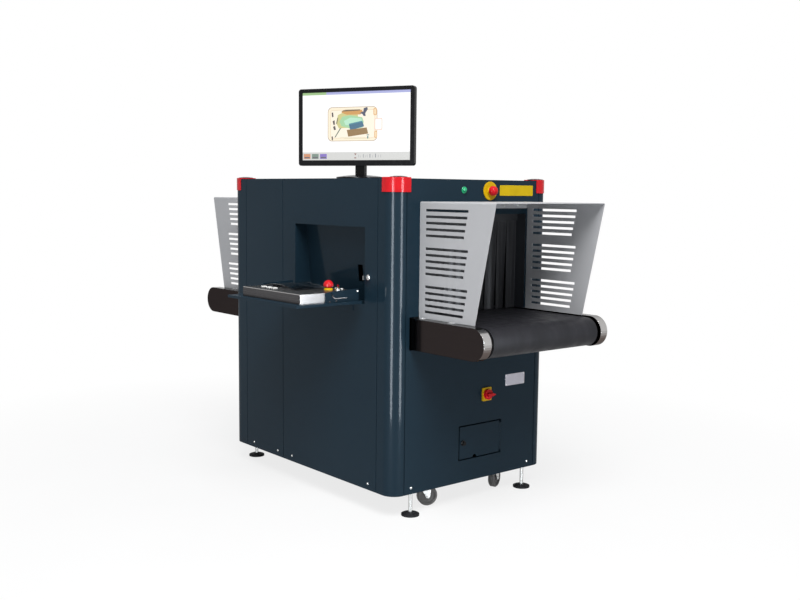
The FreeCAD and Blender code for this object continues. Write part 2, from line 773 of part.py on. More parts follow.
def shelf_hinge():
    """Fixed leaf with three knuckles and the pin."""
    pieces = []
    low = shelf_axis_z - S.knuckle_radius
    for index in range(0, hinge_count, 2):
        x0 = hinge_left + S.knuckle_long * index
        pieces.append(knuckle("fixed_knuckle_%d" % index, x0, S.knuckle_long, S.knuckle_radius))
        pieces.append(block("hinge_web_%d" % index, x0, x0 + S.knuckle_long, shelf_axis_y, -half_depth,
                            low, low + S.skin))
    pieces.append(block("hinge_leaf_plate", hinge_left, hinge_left + hinge_long, -half_depth - S.skin,
                        -half_depth, low - S.hinge_leaf, low + S.skin))
    pieces.append(knuckle("hinge_pin", hinge_left, hinge_long, S.pin_radius))
    place(fuse("shelf_hinge", pieces))


def shelf_tray():
    """Shelf plate with a down-turned lip on three sides and two knuckles."""
    top = shelf_top
    low = top - S.shelf_thick
    outer = shelf_axis_y - S.shelf_depth
    inner = shelf_axis_y - S.knuckle_radius - S.shelf_rise
    left = recess_left - S.shelf_over
    right = left + S.shelf_width
    lip = S.shelf_lip_wall
    pieces = [block("shelf_plate", left, right, outer, inner, low, top)]
    pieces.append(block("shelf_front_lip", left, right, outer, outer + lip, low - S.shelf_lip, low))
    for name, x0 in (("left", left), ("right", right - lip)):
        pieces.append(block("shelf_lip_" + name, x0, x0 + lip, outer, inner, low - S.shelf_lip, low))
    bores = []
    for index in range(1, hinge_count, 2):
        x0 = hinge_left + S.knuckle_long * index + S.knuckle_gap
        long = S.knuckle_long - S.knuckle_gap * 2
        pieces.append(knuckle("shelf_knuckle_%d" % index, x0, long, S.knuckle_radius))
        pieces.append(block("shelf_web_%d" % index, x0, x0 + long, inner, shelf_axis_y,
                            low, shelf_axis_z + S.knuckle_radius))
        bores.append(knuckle("shelf_bore_%d" % index, x0, long, S.pin_radius + S.pin_clear))
    place(cut("shelf_tray", fuse("shelf_tray_solid", pieces), fuse("shelf_bores", bores)))


case_top = shelf_top + S.case_height
case_inner = shelf_axis_y - S.case_start
case_left = recess_left + S.case_in
case_right = case_left + S.case_width


def keyboard_case():
    """Stainless case with rounded upper edges that carries the keys."""
    body = new_body("keyboard_case")
    made = sketch(body, "YZ_Plane", case_left)
    outer = case_inner - S.case_depth
    edge = S.case_edge
    outline(made, [
        (outer, shelf_top), (case_inner, shelf_top), (case_inner, case_top - edge),
        (case_inner - edge, case_top, case_inner - edge, case_top - edge, 1),
        (outer + edge, case_top), (outer, case_top - edge, outer + edge, case_top - edge, 1)])
    pad(body, made, S.case_width)
    place(body)


def shelf_cheeks():
    """Side cheeks of the shelf with the curved slot that guides its stay."""
    body = new_body("shelf_cheek")
    right = case_right + S.cheek_gap
    made = sketch(body, "YZ_Plane", right)
    inner = case_inner
    outer = inner - S.cheek_long
    chamfer = S.cheek_height / 4
    outline(made, [
        (outer, shelf_top), (inner, shelf_top), (inner, shelf_top + S.cheek_height),
        (outer + chamfer, shelf_top + S.cheek_height - chamfer / 2), (outer, shelf_top + S.cheek_height - chamfer)])
    pad(body, made, S.cheek_thick)
    slot = sketch(body, "YZ_Plane", right)
    pivot_y = outer + S.cheek_long / 3
    pivot_z = shelf_top + S.cheek_height - S.stay_drop
    wide = (S.cheek_height + S.stay_slot) / 2
    slim = wide - S.stay_slot
    outline(slot, [
        (pivot_y - wide, pivot_z), (pivot_y, pivot_z - wide, pivot_y, pivot_z, 1),
        (pivot_y + wide * 2, pivot_z - wide), (pivot_y + wide * 2, pivot_z - slim),
        (pivot_y, pivot_z - slim), (pivot_y - slim, pivot_z, pivot_y, pivot_z, -1)])
    pocket(body, slot, S.cheek_thick)
    copy = doc.addObject("Part::Compound", "left_cheek")
    copy.Links = [body]
    bind(copy, "Placement.Base.x", recess_left + S.cheek_in - right)
    place(compound("shelf_cheeks", [body, copy]))


def keypad():
    """Grid of dark keys under the cover."""
    body = new_body("keypad")
    made = sketch(body, "XY_Plane", case_top)
    start_x = case_left + S.cover_in - S.key_pitch * (S.key_columns - 1) / 2 - S.key_size / 2
    start_y = shelf_axis_y - S.cover_out - S.key_pitch * (S.key_rows - 1) / 2 - S.key_size / 2
    rectangle(made, start_x, start_x + S.key_size, start_y, start_y + S.key_size)
    first = pad(body, made, S.key_height)
    across = body.newObject("PartDesign::LinearPattern", "keypad_columns")
    across.Direction = (made, ["H_Axis"])
    bind(across, "Length", S.key_pitch * (S.key_columns - 1))
    bind(across, "Occurrences", S.key_columns)
    deep = body.newObject("PartDesign::LinearPattern", "keypad_rows")
    deep.Direction = (made, ["V_Axis"])
    bind(deep, "Length", S.key_pitch * (S.key_rows - 1))
    bind(deep, "Occurrences", S.key_rows)
    grid = body.newObject("PartDesign::MultiTransform", "keypad_grid")
    grid.Originals = [first]
    grid.Transformations = [across, deep]
    body.Tip = grid
    place(body)


def white_keys():
    """Three white function keys before the cover and two buttons behind the stop."""
    pieces = []
    size = S.white_key_wide
    row = shelf_axis_y - S.white_key_out
    for index in range(3):
        x0 = case_left + S.white_key_in + S.white_key_step * index
        pieces.append(block("white_key_%d" % index, x0, x0 + size, row - size / 2, row + size / 2,
                            case_top, case_top + S.key_height))
    for index in range(2):
        button = doc.addObject("Part::Cylinder", "white_button_%d" % index)
        bind(button, "Radius", size / 2)
        bind(button, "Height", S.key_height)
        bind(button, "Placement.Base.x", case_right - S.button_in + S.button_step * index)
        bind(button, "Placement.Base.y", shelf_axis_y - S.button_out)
        bind(button, "Placement.Base.z", case_top)
        pieces.append(button)
    place(compound("white_keys", pieces))


def key_switch():
    body = new_body("key_switch")
    made = sketch(body, "XZ_Plane")
    radius = S.lock_radius
    outline(made, [
        (0, 0), (radius, 0), (radius, 4), (radius - 2, 6), (2, 6), (2, 7), (0, 7)])
    revolve(body, made)
    bow = sketch(body, "XZ_Plane")
    rectangle(bow, as_size(-7), as_size(7), as_size(6), as_size(18))
    pad(body, bow, 2, True)
    place(body, case_right - S.switch_key_in, shelf_axis_y - S.switch_key_out, case_top)


def dust_cover():
    """Clear domed cover over the keys, open below."""
    body = new_body("dust_cover")
    made = sketch(body, "XZ_Plane")
    half = S.cover_wide / 2
    rise = S.cover_rise
    wall = S.cover_wall
    # both arcs share the centre that the cover's width and rise give
    drop = (half * half - rise * rise) / (rise * 2)
    outline(made, [
        (half, 0), (-half, 0, 0, -drop, 1), (wall * 6 - half, 0), (half - wall * 6, 0, 0, -drop - wall, -1)])
    pad(body, made, S.cover_deep, True)
    place(body, case_left + S.cover_in, shelf_axis_y - S.cover_out, case_top)


def stop_button(label, axis):
    """Mushroom head on its stem, drawn upright along +Z from the collar's face."""
    body = new_body(label)
    made = sketch(body, "XZ_Plane")
    head = S.stop_head_radius
    low = S.stop_lift
    top = low + S.stop_head_height
    neck = S.stop_stem_radius
    rim = low + S.stop_rim
    crown = top - rim
    outline(made, [
        (0, 0), (neck, 0), (neck, low), (head, low), (head, rim),
        (0, top, 0, top - (head * head + crown * crown) / (crown * 2), 1)])
    revolve(body, made)
    if axis == "X":
        body.Placement.Rotation = FreeCAD.Rotation(FreeCAD.Vector(0, 1, 0), 90)
    return body


def collar(label, base_radius, base_height):
    """Bevelled collar round the stem, on a wider base ring."""
    body = new_body(label)
    made = sketch(body, "XZ_Plane")
    hole = S.stop_stem_radius + S.stop_clear
    radius = S.stop_collar_radius
    height = S.stop_collar_height
    bevel = height / 4
    outline(made, [
        (hole, 0), (base_radius, 0), (base_radius, base_height), (radius, base_height),
        (radius, height - bevel), (radius - bevel, height), (hole, height)])
    revolve(body, made)
    return body


def emergency_stops():
    stop_x = case_right - S.stop_in
    stop_y = shelf_axis_y - S.stop_out
    raised = S.stop_travel + S.stop_clear
    place(collar("console_stop_collar", S.stop_collar_radius + 1, as_size(1)), stop_x, stop_y, case_top)
    place(stop_button("console_stop_button", "Z"), stop_x, stop_y, case_top + raised)
    end_z = cab_top - S.end_stop_drop
    ring = collar("end_stop_collar", S.legend_radius, S.legend_height)
    ring.Placement.Rotation = FreeCAD.Rotation(FreeCAD.Vector(0, 1, 0), 90)
    place(ring, half_length, S.end_stop_y, end_z)
    place(stop_button("end_stop_button", "X"), half_length + raised, S.end_stop_y, end_z)


def power_lamp():
    body = new_body("power_lamp")
    made = sketch(body, "XZ_Plane")
    ring = S.lamp_ring
    dome = S.lamp_radius
    outline(made, [(0, 0), (ring, 0), (ring, 2), (ring - 1, 3), (dome, 3), (0, dome + 3, 0, 3, 1)])
    revolve(body, made)
    body.Placement.Rotation = FreeCAD.Rotation(FreeCAD.Vector(0, 1, 0), 90)
    place(body, half_length, S.lamp_y, cab_top - S.lamp_drop)


def main_switch():
    """Square plate with the round dial and grip of a rotary switch."""
    plate = new_body("main_switch_plate")
    made = sketch(plate, "YZ_Plane")
    half = S.switch_wide / 2
    tall = S.switch_high / 2
    round_rectangle(made, -half, half, -tall, tall, as_size(3))
    pad(plate, made, S.switch_thick)
    place(plate, half_length, S.switch_y, cab_floor + S.switch_z)
    handle = new_body("main_switch_handle")
    dial = sketch(handle, "YZ_Plane")
    circle(dial, 0, 0, S.dial_radius)
    pad(handle, dial, S.dial_height)
    grip = sketch(handle, "YZ_Plane", S.dial_height)
    slim = S.grip_width / 2
    outline(grip, [
        (-slim, -S.dial_radius * 0.7), (slim, -S.dial_radius * 0.7), (slim, S.dial_radius * 0.6),
        (0, S.grip_long), (-slim, S.dial_radius * 0.6)])
    pad(handle, grip, S.grip_height)
    handle.Placement.Rotation = FreeCAD.Rotation(FreeCAD.Vector(1, 0, 0), -S.grip_turn.value)
    place(handle, half_length + S.switch_thick + S.race_gap, S.switch_y, cab_floor + S.switch_z)


def key_lock():
    body = new_body("key_lock")
    made = sketch(body, "XZ_Plane")
    radius = S.lock_radius
    outline(made, [(0, 0), (radius, 0), (radius, 3), (radius - 2, 5), (2, 5), (2, 6), (0, 6)])
    revolve(body, made)
    bow = sketch(body, "XZ_Plane")
    rectangle(bow, as_size(-1), as_size(1), as_size(5), as_size(24))
    pad(body, bow, 14, True)
    body.Placement.Rotation = FreeCAD.Rotation(FreeCAD.Vector(1, 0, 0), 90)
    place(body, recess_right + S.lock_out, -half_depth, recess_floor + S.lock_up)


# Service hatch
hatch_axis_y = S.hatch_right - S.hatch_gap + S.hatch_pin_offset
hatch_axis_x = half_length - S.hatch_thick / 2
hatch_low = cab_floor + S.hatch_bottom
hatch_high = cab_floor + S.hatch_top
hatch_middle = (hatch_low + hatch_high) / 2


def upright(name, z, length, radius):
    made = doc.addObject("Part::Cylinder", name)
    bind(made, "Radius", radius)
    bind(made, "Height", length)
    bind(made, "Placement.Base.x", hatch_axis_x)
    bind(made, "Placement.Base.y", hatch_axis_y)
    bind(made, "Placement.Base.z", z)
    return made


def hatch_box():
    """Sheet compartment behind the hatch with the fixed hinge knuckles and pin."""
    back = half_length - S.skin - S.hatch_box_depth
    face = half_length - S.skin
    left = S.hatch_left
    right = S.hatch_right + S.hatch_gap
    skin = S.skin
    lip = S.hatch_lip
    outer = block("hatch_box_outer", back - skin, face, left - skin, right + skin, hatch_low - skin,
                  hatch_high + skin)
    rim = block("hatch_box_rim", face - skin, face, left - lip, right + lip, hatch_low - lip, hatch_high + lip)
    space = block("hatch_box_space", back, face + skin, left, right, hatch_low, hatch_high)
    shell = cut("hatch_box_shell", fuse("hatch_box_solid", [outer, rim]), space)
    pieces = [shell, upright("hatch_pin", hatch_middle - S.hatch_knuckle_long * 1.5,
                             S.hatch_knuckle_long * 3, S.hatch_pin)]
    for name, start in (("low", hatch_middle - S.hatch_knuckle_long * 1.5),
                        ("high", hatch_middle + S.hatch_knuckle_long / 2)):
        pieces.append(upright("hatch_knuckle_" + name, start, S.hatch_knuckle_long, S.hatch_knuckle))
        pieces.append(block("hatch_hinge_leaf_" + name, hatch_axis_x - 1, hatch_axis_x + 1, hatch_axis_y,
                            right, start, start + S.hatch_knuckle_long))
    place(fuse("hatch_box", pieces))


def hatch_door():
    left = S.hatch_left + S.hatch_gap
    right = S.hatch_right - S.hatch_gap
    gap = S.knuckle_gap
    low = hatch_middle - S.hatch_knuckle_long / 2 + gap
    long = S.hatch_knuckle_long - gap * 2
    plate = block("hatch_plate", half_length - S.hatch_thick, half_length, left, right,
                  hatch_low + S.hatch_gap, hatch_high - S.hatch_gap)
    notch = doc.addObject("Part::Cylinder", "hatch_notch")
    notch.Placement.Rotation = FreeCAD.Rotation(FreeCAD.Vector(0, 1, 0), 90)
    bind(notch, "Radius", S.notch_radius)
    bind(notch, "Height", S.hatch_thick * 3)
    bind(notch, "Placement.Base.x", half_length - S.hatch_thick * 2)
    bind(notch, "Placement.Base.y", S.notch_y)
    bind(notch, "Placement.Base.z", hatch_low + S.hatch_gap)
    barrel = upright("hatch_door_knuckle", low, long, S.hatch_knuckle)
    strap = block("hatch_door_strap", hatch_axis_x - 1, hatch_axis_x + 1, right - 1, hatch_axis_y, low, low + long)
    bore = upright("hatch_door_bore", low, long, S.hatch_pin + S.pin_clear)
    solid = cut("hatch_door_plate", fuse("hatch_door_solid", [plate, barrel, strap]), notch)
    place(cut("hatch_door", solid, bore))


def hatch_knob():
    body = new_body("hatch_knob")
    made = sketch(body, "XZ_Plane")
    radius = S.knob_radius
    outline(made, [(0, 0), (radius, 0), (radius, 3), (radius - 3, 4), (radius - 3, S.knob_height), (0, S.knob_height)])
    revolve(body, made)
    body.Placement.Rotation = FreeCAD.Rotation(FreeCAD.Vector(0, 1, 0), 90)
    place(body, half_length, S.knob_y, cab_floor + S.knob_z)


# Levelling feet
def feet():
    pad_body = new_body("foot_pad")
    made = sketch(pad_body, "XZ_Plane")
    radius = S.pad_radius
    high = S.pad_height
    stud = S.stud_radius
    outline(made, [(0, 0), (radius, 0), (radius, high / 2), (radius - 4, high / 2 + 2),
                   (stud * 2, high), (0, high)])
    revolve(pad_body, made)
    bind(pad_body, "Placement.Base.x", foot_x)
    bind(pad_body, "Placement.Base.y", -foot_y)
    place(four_corners("foot_pads", pad_body))
    stud_body = new_body("foot_stud")
    made = sketch(stud_body, "XY_Plane", high)
    circle(made, 0, 0, stud)
    pad(stud_body, made, pan_floor - high + S.nut_height)
    nut = sketch(stud_body, "XY_Plane", pan_floor - S.bracket_thick - S.nut_height)
    across = S.nut_radius
    half = across / 2
    flat = across * 0.866
    outline(nut, [(across, 0), (half, flat), (-half, flat), (-across, 0), (-half, -flat), (half, -flat)])
    pad(stud_body, nut, S.nut_height)
    bind(stud_body, "Placement.Base.x", foot_x)
    bind(stud_body, "Placement.Base.y", -foot_y)
    place(four_corners("foot_studs", stud_body))


# Swivel casters
plate_under = pan_floor - S.top_plate
race_under = plate_under - S.race_height
crown_top = race_under - S.race_gap
axle_z = S.wheel_radius + S.wheel_lift
caster_x = half_length - S.caster_in_x
caster_y = half_depth - S.caster_in_y
CASTERS = (("front_exit", 1, -1, 65), ("rear_exit", 1, 1, 112),
           ("front_entry", -1, -1, 75), ("rear_entry", -1, 1, 105))


def caster_plates():
    """Top plates with the upper race and the kingpin, one over each swivel."""
    body = new_body("caster_plate")
    made = sketch(body, "XY_Plane", plate_under)
    half = S.top_plate_half
    round_rectangle(made, -half, half, -half, half, as_size(5))
    pad(body, made, S.top_plate)
    race = sketch(body, "XY_Plane", race_under)
    circle(race, 0, 0, S.race_radius)
    pad(body, race, S.race_height)
    pin = sketch(body, "XY_Plane", crown_top - S.fork_plate)
    circle(pin, 0, 0, S.kingpin_radius)
    pad(body, pin, race_under - crown_top + S.fork_plate)
    bind(body, "Placement.Base.x", caster_x)
    bind(body, "Placement.Base.y", -caster_y)
    place(four_corners("caster_plates", body))


def caster(name, sign_x, sign_y, angle):
    """Fork and wheel with the trail along local +X, turned to the angle it stands at."""
    turn = FreeCAD.Rotation(FreeCAD.Vector(0, 0, 1), angle)
    fork = new_body("caster_fork_" + name)
    inside = S.wheel_width / 2 + S.fork_gap
    outside = inside + S.fork_wall
    made = sketch(fork, "XZ_Plane", -outside)
    crown = S.race_radius
    trail = S.trail
    outline(made, [
        (-crown, crown_top - S.fork_plate), (trail - S.axle_radius * 2, axle_z),
        (trail + S.axle_radius * 2, axle_z, trail, axle_z, 1),
        (crown + trail / 2, crown_top - S.fork_plate), (crown, crown_top), (-crown, crown_top)])
    pad(fork, made, outside * 2)
    gap = sketch(fork, "XZ_Plane", -inside)
    rectangle(gap, -crown * 2, crown * 3, as_size(0), crown_top - S.fork_plate)
    pocket(fork, gap, inside * 2)
    bore = sketch(fork, "XY_Plane", crown_top - S.fork_plate * 2)
    circle(bore, 0, 0, S.kingpin_radius + S.pin_clear)
    pocket(fork, bore, S.fork_plate * 3)
    axle = sketch(fork, "XZ_Plane", -outside - 3)
    circle(axle, trail, axle_z, S.axle_radius)
    pad(fork, axle, (outside + 3) * 2)
    fork.Placement.Rotation = turn
    place(fork, sign_x * caster_x, sign_y * caster_y)
    wheel = new_body("caster_wheel_" + name)
    made = sketch(wheel, "XY_Plane")
    radius = S.wheel_radius
    half = S.wheel_width / 2
    hub = S.axle_radius * 2.5
    bore_radius = S.axle_radius + S.axle_clear
    outline(made, [
        (bore_radius, -half - 1), (hub, -half - 1), (hub, 4 - half), (radius - 9, 4 - half), (radius - 9, -half),
        (radius - 3, -half), (radius, 3 - half), (radius, half - 3), (radius - 3, half), (radius - 9, half),
        (radius - 9, half - 4), (hub, half - 4), (hub, half + 1), (bore_radius, half + 1)])
    revolve(wheel, made)
    wheel.Placement.Rotation = turn
    reach = FreeCAD.Vector(1, 0, 0)
    reach = turn.multVec(reach)
    place(wheel, sign_x * caster_x + S.trail * reach.x, sign_y * caster_y + S.trail * reach.y, axle_z)


# Monitor: local X along its width, local Y towards its back, origin at the screen's middle
yaw = FreeCAD.Rotation(FreeCAD.Vector(0, 0, 1), S.monitor_yaw.value)


def place_monitor(thing):
    thing.Placement.Rotation = yaw
    place(thing, half_length - S.monitor_in_x, S.monitor_in_y - half_depth, cab_top + S.monitor_up)


screen_half = S.screen_wide / 2
screen_tall = S.screen_high / 2
lug_inner = S.tongue_half + S.lug_gap


def monitor_housing():
    body = new_body("monitor_housing")
    made = sketch(body, "XZ_Plane", -S.housing_thick)
    side = screen_half + S.bezel_side
    low = -screen_tall - S.bezel_bottom
    high = screen_tall + S.bezel_top
    round_rectangle(made, -side, side, low, high, S.bezel_round)
    pad(body, made, S.housing_thick)
    window = sketch(body, "XZ_Plane", -S.bezel_lip - S.screen_thick)
    rectangle(window, -screen_half, screen_half, -screen_tall, screen_tall)
    pocket(body, window, S.bezel_lip * 2 + S.screen_thick)
    bulge = sketch(body, "YZ_Plane", -S.bulge_wide / 2)
    back = S.housing_thick
    top = S.bulge_high / 2 - S.tilt_drop
    deep = back + S.bulge_deep
    taper = S.bulge_taper
    outline(bulge, [(back, top - S.bulge_high), (deep, top - S.bulge_high + taper),
                    (deep, top - taper), (back, top)])
    pad(body, bulge, S.bulge_wide)
    radius = S.lug_radius
    for start in (lug_inner, -lug_inner - S.lug_thick):
        lug = sketch(body, "YZ_Plane", start)
        outline(lug, [
            (deep, -S.tilt_drop - radius), (S.tilt_back, -S.tilt_drop - radius),
            (S.tilt_back, radius - S.tilt_drop, S.tilt_back, -S.tilt_drop, 1), (deep, radius - S.tilt_drop)])
        pad(body, lug, S.lug_thick)
    bore = sketch(body, "YZ_Plane", -lug_inner - S.lug_thick)
    circle(bore, S.tilt_back, -S.tilt_drop, S.tilt_pin + S.pin_clear)
    pocket(body, bore, (lug_inner + S.lug_thick) * 2)
    place_monitor(body)


def monitor_screen():
    body = new_body("monitor_screen")
    made = sketch(body, "XZ_Plane", -S.bezel_lip - S.screen_thick)
    rectangle(made, -screen_half, screen_half, -screen_tall, screen_tall)
    pad(body, made, S.screen_thick)
    place_monitor(body)


def monitor_stand():
    """Domed round foot, flat neck and the tongue that carries the tilt pin."""
    body = new_body("monitor_stand")
    floor_z = -S.monitor_up
    foot = body.newObject("Sketcher::SketchObject", "monitor_stand_foot")
    foot.AttachmentSupport = [(plane(body, "XZ_Plane"), "")]
    foot.MapMode = "FlatFace"
    bind(foot, "AttachmentOffset.Base.z", -S.tilt_back)
    radius = S.stand_radius
    rise = S.stand_rise
    edge = S.stand_edge
    drop = rise - edge
    dome = (radius * radius + drop * drop) / (drop * 2)
    outline(foot, [(0, floor_z), (radius, floor_z), (radius, floor_z + edge),
                   (0, floor_z + rise, 0, floor_z + rise - dome, 1)])
    revolve(body, foot)
    wide = S.neck_wide / 2
    shoulder = -S.tilt_drop - S.lug_radius - S.neck_gap
    neck = sketch(body, "YZ_Plane", -wide)
    front = S.tilt_back - S.neck_deep / 2
    rear = S.tilt_back + S.neck_deep / 2
    rectangle(neck, front, rear, floor_z + edge, shoulder)
    pad(body, neck, S.neck_wide)
    tongue = sketch(body, "YZ_Plane", -S.tongue_half)
    outline(tongue, [
        (front, shoulder - 2), (rear, shoulder - 2), (rear, -S.tilt_drop),
        (front, -S.tilt_drop, S.tilt_back, -S.tilt_drop, 1)])
    pad(body, tongue, S.tongue_half * 2)
    pin_half = lug_inner + S.lug_thick
    pin = sketch(body, "YZ_Plane", -pin_half)
    circle(pin, S.tilt_back, -S.tilt_drop, S.tilt_pin)
    pad(body, pin, pin_half * 2)
    place_monitor(body)


corner_columns()
long_side_panels()
end_panels()
roof_panel()
corner_caps()
cap_plugs()
base_pan()
inner_frame()
conveyor_rails()
conveyor_bed()
conveyor_belt()
end_rollers()
tunnel_liner()
curtain("exit_curtain", 1)
curtain("entry_curtain", -1)
curtain_bars()
hoods()
console_recess()
shelf_hinge()
shelf_tray()
keyboard_case()
shelf_cheeks()
keypad()
white_keys()
key_switch()
dust_cover()
emergency_stops()
power_lamp()
main_switch()
key_lock()
hatch_box()
hatch_door()
hatch_knob()
feet()
caster_plates()
for caster_spec in CASTERS:
    caster(*caster_spec)
monitor_housing()
monitor_screen()
monitor_stand()
doc.recompute()

# Every object and shape is checked before any file is written
for thing in doc.Objects:
    if "Invalid" in thing.State or "Error" in thing.State:
        raise RuntimeError("%s failed: %s" % (thing.Name, thing.State))
for feature in CUTS:
    if feature.Shape.Volume > feature.BaseFeature.Shape.Volume - 1e-3:
        raise RuntimeError("%s cuts nothing" % feature.Name)
for node in NODES:
    if node.Shape.isNull() or not node.Shape.isValid() or node.Shape.Volume <= 0:
        raise RuntimeError("%s has no valid shape" % node.Label)
for node in NODES:
    node.Shape.exportStep("parts/%s.step" % node.Label)
box = Part.makeCompound([node.Shape for node in NODES]).optimalBoundingBox()
print("%d nodes, box X %.1f %.1f Y %.1f %.1f Z %.1f %.1f" % (
    len(NODES), box.XMin, box.XMax, box.YMin, box.YMax, box.ZMin, box.ZMax))
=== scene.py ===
import itertools
import json
import math
import random

import bmesh
import bpy
from mathutils import Matrix, Vector


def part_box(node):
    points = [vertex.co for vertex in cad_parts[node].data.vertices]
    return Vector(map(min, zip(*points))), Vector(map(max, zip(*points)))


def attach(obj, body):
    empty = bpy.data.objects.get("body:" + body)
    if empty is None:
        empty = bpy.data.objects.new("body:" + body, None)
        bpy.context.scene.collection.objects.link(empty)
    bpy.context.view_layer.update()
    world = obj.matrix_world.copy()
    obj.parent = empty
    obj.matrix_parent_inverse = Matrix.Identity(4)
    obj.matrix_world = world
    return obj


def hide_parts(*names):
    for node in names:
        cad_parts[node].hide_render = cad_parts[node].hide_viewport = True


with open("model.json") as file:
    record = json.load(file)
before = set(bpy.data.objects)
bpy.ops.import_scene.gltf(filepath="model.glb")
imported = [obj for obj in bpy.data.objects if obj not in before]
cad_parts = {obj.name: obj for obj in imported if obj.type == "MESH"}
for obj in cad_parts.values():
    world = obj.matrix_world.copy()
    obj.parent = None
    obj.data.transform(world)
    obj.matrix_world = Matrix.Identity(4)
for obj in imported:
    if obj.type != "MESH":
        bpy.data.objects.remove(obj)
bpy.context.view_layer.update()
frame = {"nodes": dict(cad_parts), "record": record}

nodes = frame["nodes"]
random.seed(7)

# Shared places in metres. The cabinet's centre line lies behind the middle of the whole box,
# because the open shelf sticks out in front.
CAB_Y = 0.1425
GROUND = 0.08
CORNER = Vector((0.4725, CAB_Y - 0.3275, 0.0))
SCREEN_WIDE, SCREEN_HIGH = 0.433, 0.2435

# The cabinet in its own millimetres, from its middle
HALF_LENGTH, HALF_DEPTH = 522.5, 377.5
SCREW_LINE, SCREW_COLUMNS, END_SCREW_SIDE = 22, (-366, -191, -90, 388), 290


def on_cabinet(x, y, z):
    """A point given in the cabinet's own millimetres, from its middle and its lower edge."""
    return Vector((x / 1000, y / 1000 + CAB_Y, z / 1000 + GROUND))


# Camera at the photograph's angle
YAW, PITCH, ROLL = math.radians(50.2968), math.radians(6.1366), math.radians(0.5785)
EYE = on_cabinet(3124.13, -2509.18, 1046.07)
FOCAL_PIXELS, IMAGE_WIDTH = 1010.43, 800


def make_camera():
    ahead = Vector((-math.sin(YAW) * math.cos(PITCH),
                    math.cos(YAW) * math.cos(PITCH), -math.sin(PITCH)))
    level = Vector((math.cos(YAW), math.sin(YAW), 0))
    upward = level.cross(ahead)
    right = math.cos(ROLL) * level + math.sin(ROLL) * upward
    up = math.cos(ROLL) * upward - math.sin(ROLL) * level
    data = bpy.data.cameras.new("camera")
    data.sensor_width = 36
    data.lens = data.sensor_width * FOCAL_PIXELS / IMAGE_WIDTH
    data.clip_end = 60
    camera = bpy.data.objects.new("camera", data)
    bpy.context.scene.collection.objects.link(camera)
    turn = Matrix((right, up, -ahead)).transposed().to_4x4()
    camera.matrix_world = Matrix.Translation(EYE) @ turn
    bpy.context.scene.camera = camera


# Shader graph helpers
class Graph:
    def __init__(self, name):
        self.material = bpy.data.materials.new(name)
        self.material.use_nodes = True
        self.tree = self.material.node_tree
        self.shader = self.tree.nodes["Principled BSDF"]
        self.place = self.add("ShaderNodeTexCoord").outputs["Object"]

    def add(self, kind, **settings):
        node = self.tree.nodes.new(kind)
        for key, value in settings.items():
            setattr(node, key, value)
        return node

    def link(self, source, target):
        self.tree.links.new(source, target)

    def stretch(self, scale):
        mapping = self.add("ShaderNodeMapping")
        mapping.inputs["Scale"].default_value = scale
        self.link(self.place, mapping.inputs["Vector"])
        return mapping.outputs["Vector"]

    def noise(self, scale, detail=3, roughness=0.5, stretch=(1, 1, 1)):
        node = self.add("ShaderNodeTexNoise")
        node.inputs["Scale"].default_value = scale
        node.inputs["Detail"].default_value = detail
        node.inputs["Roughness"].default_value = roughness
        self.link(self.stretch(stretch), node.inputs["Vector"])
        return node.outputs["Fac"]

    def span(self, value, low, high, start=0.3, end=0.7):
        """Map the value's range start to end on low to high."""
        node = self.add("ShaderNodeMapRange")
        node.inputs["From Min"].default_value = start
        node.inputs["From Max"].default_value = end
        node.inputs["To Min"].default_value = low
        node.inputs["To Max"].default_value = high
        self.link(value, node.inputs["Value"])
        return node.outputs["Result"]

    def math(self, kind, first, second):
        node = self.add("ShaderNodeMath", operation=kind)
        for socket, value in zip(node.inputs, (first, second)):
            if isinstance(value, (int, float)):
                socket.default_value = value
            else:
                self.link(value, socket)
        return node.outputs[0]

    def mix(self, factor, first, second):
        node = self.add("ShaderNodeMix", data_type="RGBA")
        self.link(factor, node.inputs["Factor"])
        for socket, value in ((node.inputs["A"], first), (node.inputs["B"], second)):
            if isinstance(value, tuple):
                socket.default_value = (*value, 1)
            else:
                self.link(value, socket)
        return node.outputs["Result"]

    def bump(self, height, strength, distance, edge=0.0):
        """Fine relief; an edge over 0 also rounds the sharp corners by that radius."""
        node = self.add("ShaderNodeBump")
        if edge:
            rounding = self.add("ShaderNodeBevel", samples=4)
            rounding.inputs["Radius"].default_value = edge
            self.link(rounding.outputs["Normal"], node.inputs["Normal"])
        node.inputs["Strength"].default_value = strength
        node.inputs["Distance"].default_value = distance
        self.link(height, node.inputs["Height"])
        self.link(node.outputs["Normal"], self.shader.inputs["Normal"])

    def colour(self, socket):
        self.link(socket, self.shader.inputs["Base Color"])

    def roughness(self, socket):
        self.link(socket, self.shader.inputs["Roughness"])

    def set(self, **values):
        for key, value in values.items():
            self.shader.inputs[key.replace("_", " ")].default_value = value


def scaled(colour, factor):
    return tuple(min(1.0, channel * factor) for channel in colour)


def worn_edge(graph, colour, edge_colour, amount):
    """Lighter wear close to sharp edges, where a rounded normal leaves the flat one."""
    geometry = graph.add("ShaderNodeNewGeometry")
    rounding = graph.add("ShaderNodeBevel", samples=4)
    rounding.inputs["Radius"].default_value = 0.0015
    likeness = graph.add("ShaderNodeVectorMath", operation="DOT_PRODUCT")
    graph.link(rounding.outputs["Normal"], likeness.inputs[0])
    graph.link(geometry.outputs["Normal"], likeness.inputs[1])
    rim = graph.span(likeness.outputs["Value"], amount, 0, 0.8, 0.98)
    patch = graph.span(graph.noise(60, 4), 0, 1, 0.45, 0.6)
    return graph.mix(graph.math("MULTIPLY", rim, patch), colour, edge_colour)


